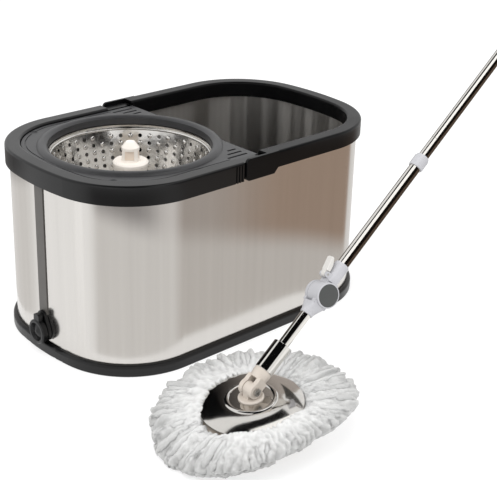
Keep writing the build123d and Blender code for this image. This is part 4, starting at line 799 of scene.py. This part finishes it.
        for vert in strand.verts:
            t = vert.co.z
            ring = round(t, 3)
            if ring not in rings:
                ahead = (along(min(1.0, t + LOOK_AHEAD)) - along(max(0.0, t - LOOK_AHEAD))).normalized()
                side = ahead.cross(Vector((0, 0, 1))).normalized()
                past = max(0.0, t - STRAND_ROUND) / (ROUND_END - STRAND_ROUND)
                spread = width * math.sqrt(1 - past * past) * chance.uniform(*RING_WIDTHS)
                rings[ring] = along(t), side, side.cross(ahead), spread
            place, side, over, spread = rings[ring]
            offset = side * (vert.co.x * spread) + over * (vert.co.y * spread)
            # A random tone per strand, darkened with painted shade towards its tip
            vert[shade] = tone - SHADE_TIP * t * t
            vert.co = place + offset
            vert.co.z = max(vert.co.z, STRAND_CLEAR_MM * MM)
        self.keep(strand)


class SPINMOP_OT_set_studio(bpy.types.Operator):
    """Set the pale floor, the soft light, the panels, cards and boards that mirrors see, and the camera"""
    bl_idname = "spinmop.set_studio"
    bl_label = "Set studio"

    def execute(self, context):
        studio = context.scene.spinmop_studio
        scene = context.scene
        scene.view_settings.view_transform = "Standard"
        self.surround(scene, studio)
        self.floor(scene, studio)
        finish = self.graded(studio)
        self.panel(scene, "front_panel", finish, 0.0)
        self.panel(scene, "back_panel", finish, math.pi)
        for name, (colour, place, heading, tilt, size) in CARDS.items():
            self.card(scene, name, getattr(studio, colour), place, heading, tilt, size)
        for name, (start, stop, colour, glow) in POLE_BOARDS.items():
            self.pole_board(scene, name, start, stop, linear(colour), glow)
        for name, (share, place, side) in LIGHTS.items():
            self.area(scene, name, studio.key * share, place, side)
        self.camera(scene)
        return {"FINISHED"}

    def surround(self, scene, studio):
        """Even white surround, so that the floor has no visible horizon."""
        world = bpy.data.worlds.new("surround")
        world.use_nodes = True
        back = world.node_tree.nodes["Background"]
        back.inputs["Color"].default_value = (1.0, 1.0, 1.0, 1.0)
        back.inputs["Strength"].default_value = studio.surround
        scene.world = world

    def plain(self, name, colour, glow):
        """Matt paint for the cards, and the lit acrylic of the floor."""
        made, tree, shader = surface(name, Roughness=0.9, Specular_IOR_Level=0.0, Emission_Strength=glow,
                                     Emission_Color=(1.0, 1.0, 1.0, 1.0))
        place = add(tree, "ShaderNodeTexCoord").outputs["Object"]
        haze = add(tree, "ShaderNodeTexNoise", {"Vector": place, "Scale": per_metre(HAZE_MM), "Detail": 2.0})
        dark = tuple(HAZE_DARK * part for part in colour)
        tone = add(tree, "ShaderNodeMix", {0: haze.outputs["Fac"], 6: opaque(dark), 7: opaque(colour)},
                   data_type="RGBA")
        feed(tree, tone.outputs[2], shader, "Base Color")
        return made

    def staged(self, scene, bm, name, finish):
        """Turn a bmesh into an object that belongs to the studio."""
        data = bpy.data.meshes.new(name)
        bm.to_mesh(data)
        bm.free()
        data.materials.append(finish)
        made = bpy.data.objects.new(name, data)
        scene.collection.objects.link(made)
        return made

    def sheet(self, scene, name, matrix, colour, glow=0.0):
        """Flat painted sheet."""
        bm = bmesh.new()
        bmesh.ops.create_grid(bm, x_segments=1, y_segments=1, size=0.5, matrix=matrix)
        return self.staged(scene, bm, name, self.plain(name, colour, glow))

    def floor(self, scene, studio):
        """Wide pale floor under the set, lit from below so that shadows on it stay faint."""
        size = Matrix.Diagonal((FLOOR_SIDE, FLOOR_SIDE, 1.0, 1.0))
        self.sheet(scene, "studio_floor", size, studio.paint, studio.table)

    def card(self, scene, name, colour, place, heading, tilt, size):
        """Flat card, tilted from level, that only mirrors see."""
        turn = Matrix.Rotation(math.radians(heading), 4, "Z") @ Matrix.Rotation(math.radians(tilt), 4, "X")
        placed = Matrix.Translation(place) @ turn @ Matrix.Diagonal((*size, 1.0, 1.0))
        self.only_mirrors(self.sheet(scene, name, placed, colour))

    def pole_board(self, scene, name, start, stop, colour, glow):
        """Long board beside the upper pole that only mirrors see."""
        along = Vector(POLE_AXIS)
        foot = Vector(POLE_FOLD)
        viewer = Vector(CAMERA_PLACE) - foot - along * POLE_MIDDLE
        viewer = (viewer - along * viewer.dot(along)).normalized()
        right = along.cross(viewer)
        first, last = (right * edge[0] + viewer * edge[1] for edge in (start, stop))
        middle = foot + along * (sum(POLE_SPAN) / 2) + (first + last) / 2
        run = along * (POLE_SPAN[1] - POLE_SPAN[0])
        across = last - first
        turn = Matrix((run, across, run.cross(across).normalized())).transposed().to_4x4()
        placed = Matrix.Translation(middle) @ turn
        self.only_mirrors(self.sheet(scene, name, placed, colour, glow))

    def panel(self, scene, name, finish, turn):
        """Bent panel round one side of the bucket that only mirrors see: graded inside, dark outside."""
        bm = bmesh.new()
        upright = bm.edges.new([bm.verts.new((PANEL_BEND, -PANEL_OUT, z)) for z in (0.0, PANEL_HEIGHT)])
        run = bmesh.ops.extrude_edge_only(bm, edges=[upright])["geom"]
        ends = [part for part in run if isinstance(part, bmesh.types.BMVert)]
        bmesh.ops.translate(bm, vec=(-2 * PANEL_BEND, 0, 0), verts=ends)
        last = [part for part in run if isinstance(part, bmesh.types.BMEdge) and all(v in ends for v in part.verts)]
        bmesh.ops.spin(bm, geom=ends + last, cent=(-PANEL_BEND, 0, 0), axis=(0, 0, 1), angle=-PANEL_LEFT,
                       steps=PANEL_LEFT_STEPS)
        bmesh.ops.spin(bm, geom=[*upright.verts, upright], cent=(PANEL_BEND, 0, 0), axis=(0, 0, 1), angle=PANEL_RIGHT,
                       steps=PANEL_RIGHT_STEPS)
        bmesh.ops.rotate(bm, cent=(0, 0, 0), matrix=Matrix.Rotation(turn, 3, "Z"), verts=bm.verts)
        bm.normal_update()
        for face in bm.faces:
            if face.normal.dot(face.calc_center_median()) > 0:
                face.normal_flip()
        self.only_mirrors(self.staged(scene, bm, name, finish))

    def graded(self, studio):
        """Lit paint of a panel: pale below, dusky above, warm at its upper right, bright at its ends, dark behind."""
        made, tree, shader = surface("graded_panel", Roughness=1.0, Specular_IOR_Level=0.0, Emission_Strength=1.0,
                                     Base_Color=(0.0, 0.0, 0.0, 1.0))
        place = add(tree, "ShaderNodeTexCoord").outputs["Object"]
        parts = add(tree, "ShaderNodeSeparateXYZ", {0: place}).outputs
        slant = add(tree, "ShaderNodeMath", {0: parts["X"], 1: PANEL_SLANT, 2: parts["Z"]}, operation="MULTIPLY_ADD")
        ways = {"across": parts["X"], "slant": slant.outputs[0]}
        tones = {"glare": PANEL_GLARE}
        for name in ("pale", "sand", "dusk", "gleam", "tan", "warm", "flag"):
            tones[name] = opaque(getattr(studio, name))
        for name, (way, start, stop, first, second) in PANEL_TONES.items():
            share = add(tree, "ShaderNodeMapRange", {"Value": ways[way], "From Min": start, "From Max": stop},
                        interpolation_type="SMOOTHSTEP")
            tone = add(tree, "ShaderNodeMix", {0: share.outputs[0], 6: tones[first], 7: tones[second]},
                       data_type="RGBA")
            tones[name] = tone.outputs[2]
        back = add(tree, "ShaderNodeNewGeometry").outputs["Backfacing"]
        tone = add(tree, "ShaderNodeMix", {0: back, 6: tones["inside"], 7: tones["outside"]}, data_type="RGBA")
        feed(tree, tone.outputs[2], shader, "Emission Color")
        return made

    def only_mirrors(self, made):
        """Hide a panel, card or board from all but mirrored light."""
        made.visible_camera = False
        made.visible_diffuse = False
        made.visible_shadow = False

    def area(self, scene, name, power, place, side):
        """Soft square light that looks at the set."""
        light = bpy.data.lights.new(name, "AREA")
        light.energy = power
        light.size = side
        made = bpy.data.objects.new(name, light)
        made.location = place
        made.rotation_mode = "QUATERNION"
        made.rotation_quaternion = (Vector(LIGHT_AIM) - Vector(place)).to_track_quat("-Z", "Y")
        made.visible_glossy = False
        scene.collection.objects.link(made)

    def camera(self, scene):
        """Camera at the photograph's viewing angle."""
        data = bpy.data.cameras.new("camera")
        data.sensor_fit = "HORIZONTAL"
        data.sensor_width = SENSOR_WIDTH
        data.lens = FOCAL_LENGTH
        data.clip_end = CLIP_END
        right, up = Vector(CAMERA_RIGHT), Vector(CAMERA_UP)
        back = right.cross(up)
        made = bpy.data.objects.new("camera", data)
        turn = Matrix((right, up, back)).transposed().to_4x4()
        made.matrix_world = Matrix.Translation(CAMERA_PLACE) @ turn
        scene.collection.objects.link(made)
        scene.camera = made


class SPINMOP_PT_pieces(bpy.types.Panel):
    """The steps that dress the set, in order"""
    bl_idname = "SPINMOP_PT_pieces"
    bl_label = "Spin mop"
    bl_space_type = "VIEW_3D"
    bl_region_type = "UI"
    bl_category = "Spin mop"

    def draw(self, context):
        for operator in OPERATORS:
            self.layout.operator(operator.bl_idname)


OPERATORS = (SPINMOP_OT_mould_plastics, SPINMOP_OT_polish_metals, SPINMOP_OT_press_basket,
             SPINMOP_OT_fit_hub_panels, SPINMOP_OT_lay_strands, SPINMOP_OT_set_studio)
GROUPS = {"spinmop_colours": SPINMOP_PG_colours, "spinmop_strands": SPINMOP_PG_strands,
          "spinmop_basket": SPINMOP_PG_basket, "spinmop_studio": SPINMOP_PG_studio}


def register():
    """Register the settings, the operators and the panel."""
    for name, group in GROUPS.items():
        bpy.utils.register_class(group)
        setattr(bpy.types.Scene, name, bpy.props.PointerProperty(type=group))
    for made in (*OPERATORS, SPINMOP_PT_pieces):
        bpy.utils.register_class(made)


def unregister():
    """Take the panel, the operators and the settings away again."""
    for made in reversed((*OPERATORS, SPINMOP_PT_pieces)):
        bpy.utils.unregister_class(made)
    for name, group in GROUPS.items():
        delattr(bpy.types.Scene, name)
        bpy.utils.unregister_class(group)


def main():
    register()
    bpy.ops.spinmop.mould_plastics()
    bpy.ops.spinmop.polish_metals()
    bpy.ops.spinmop.press_basket()
    bpy.ops.spinmop.fit_hub_panels()
    bpy.ops.spinmop.lay_strands()
    bpy.ops.spinmop.set_studio()


if __name__ == "__main__":
    main()
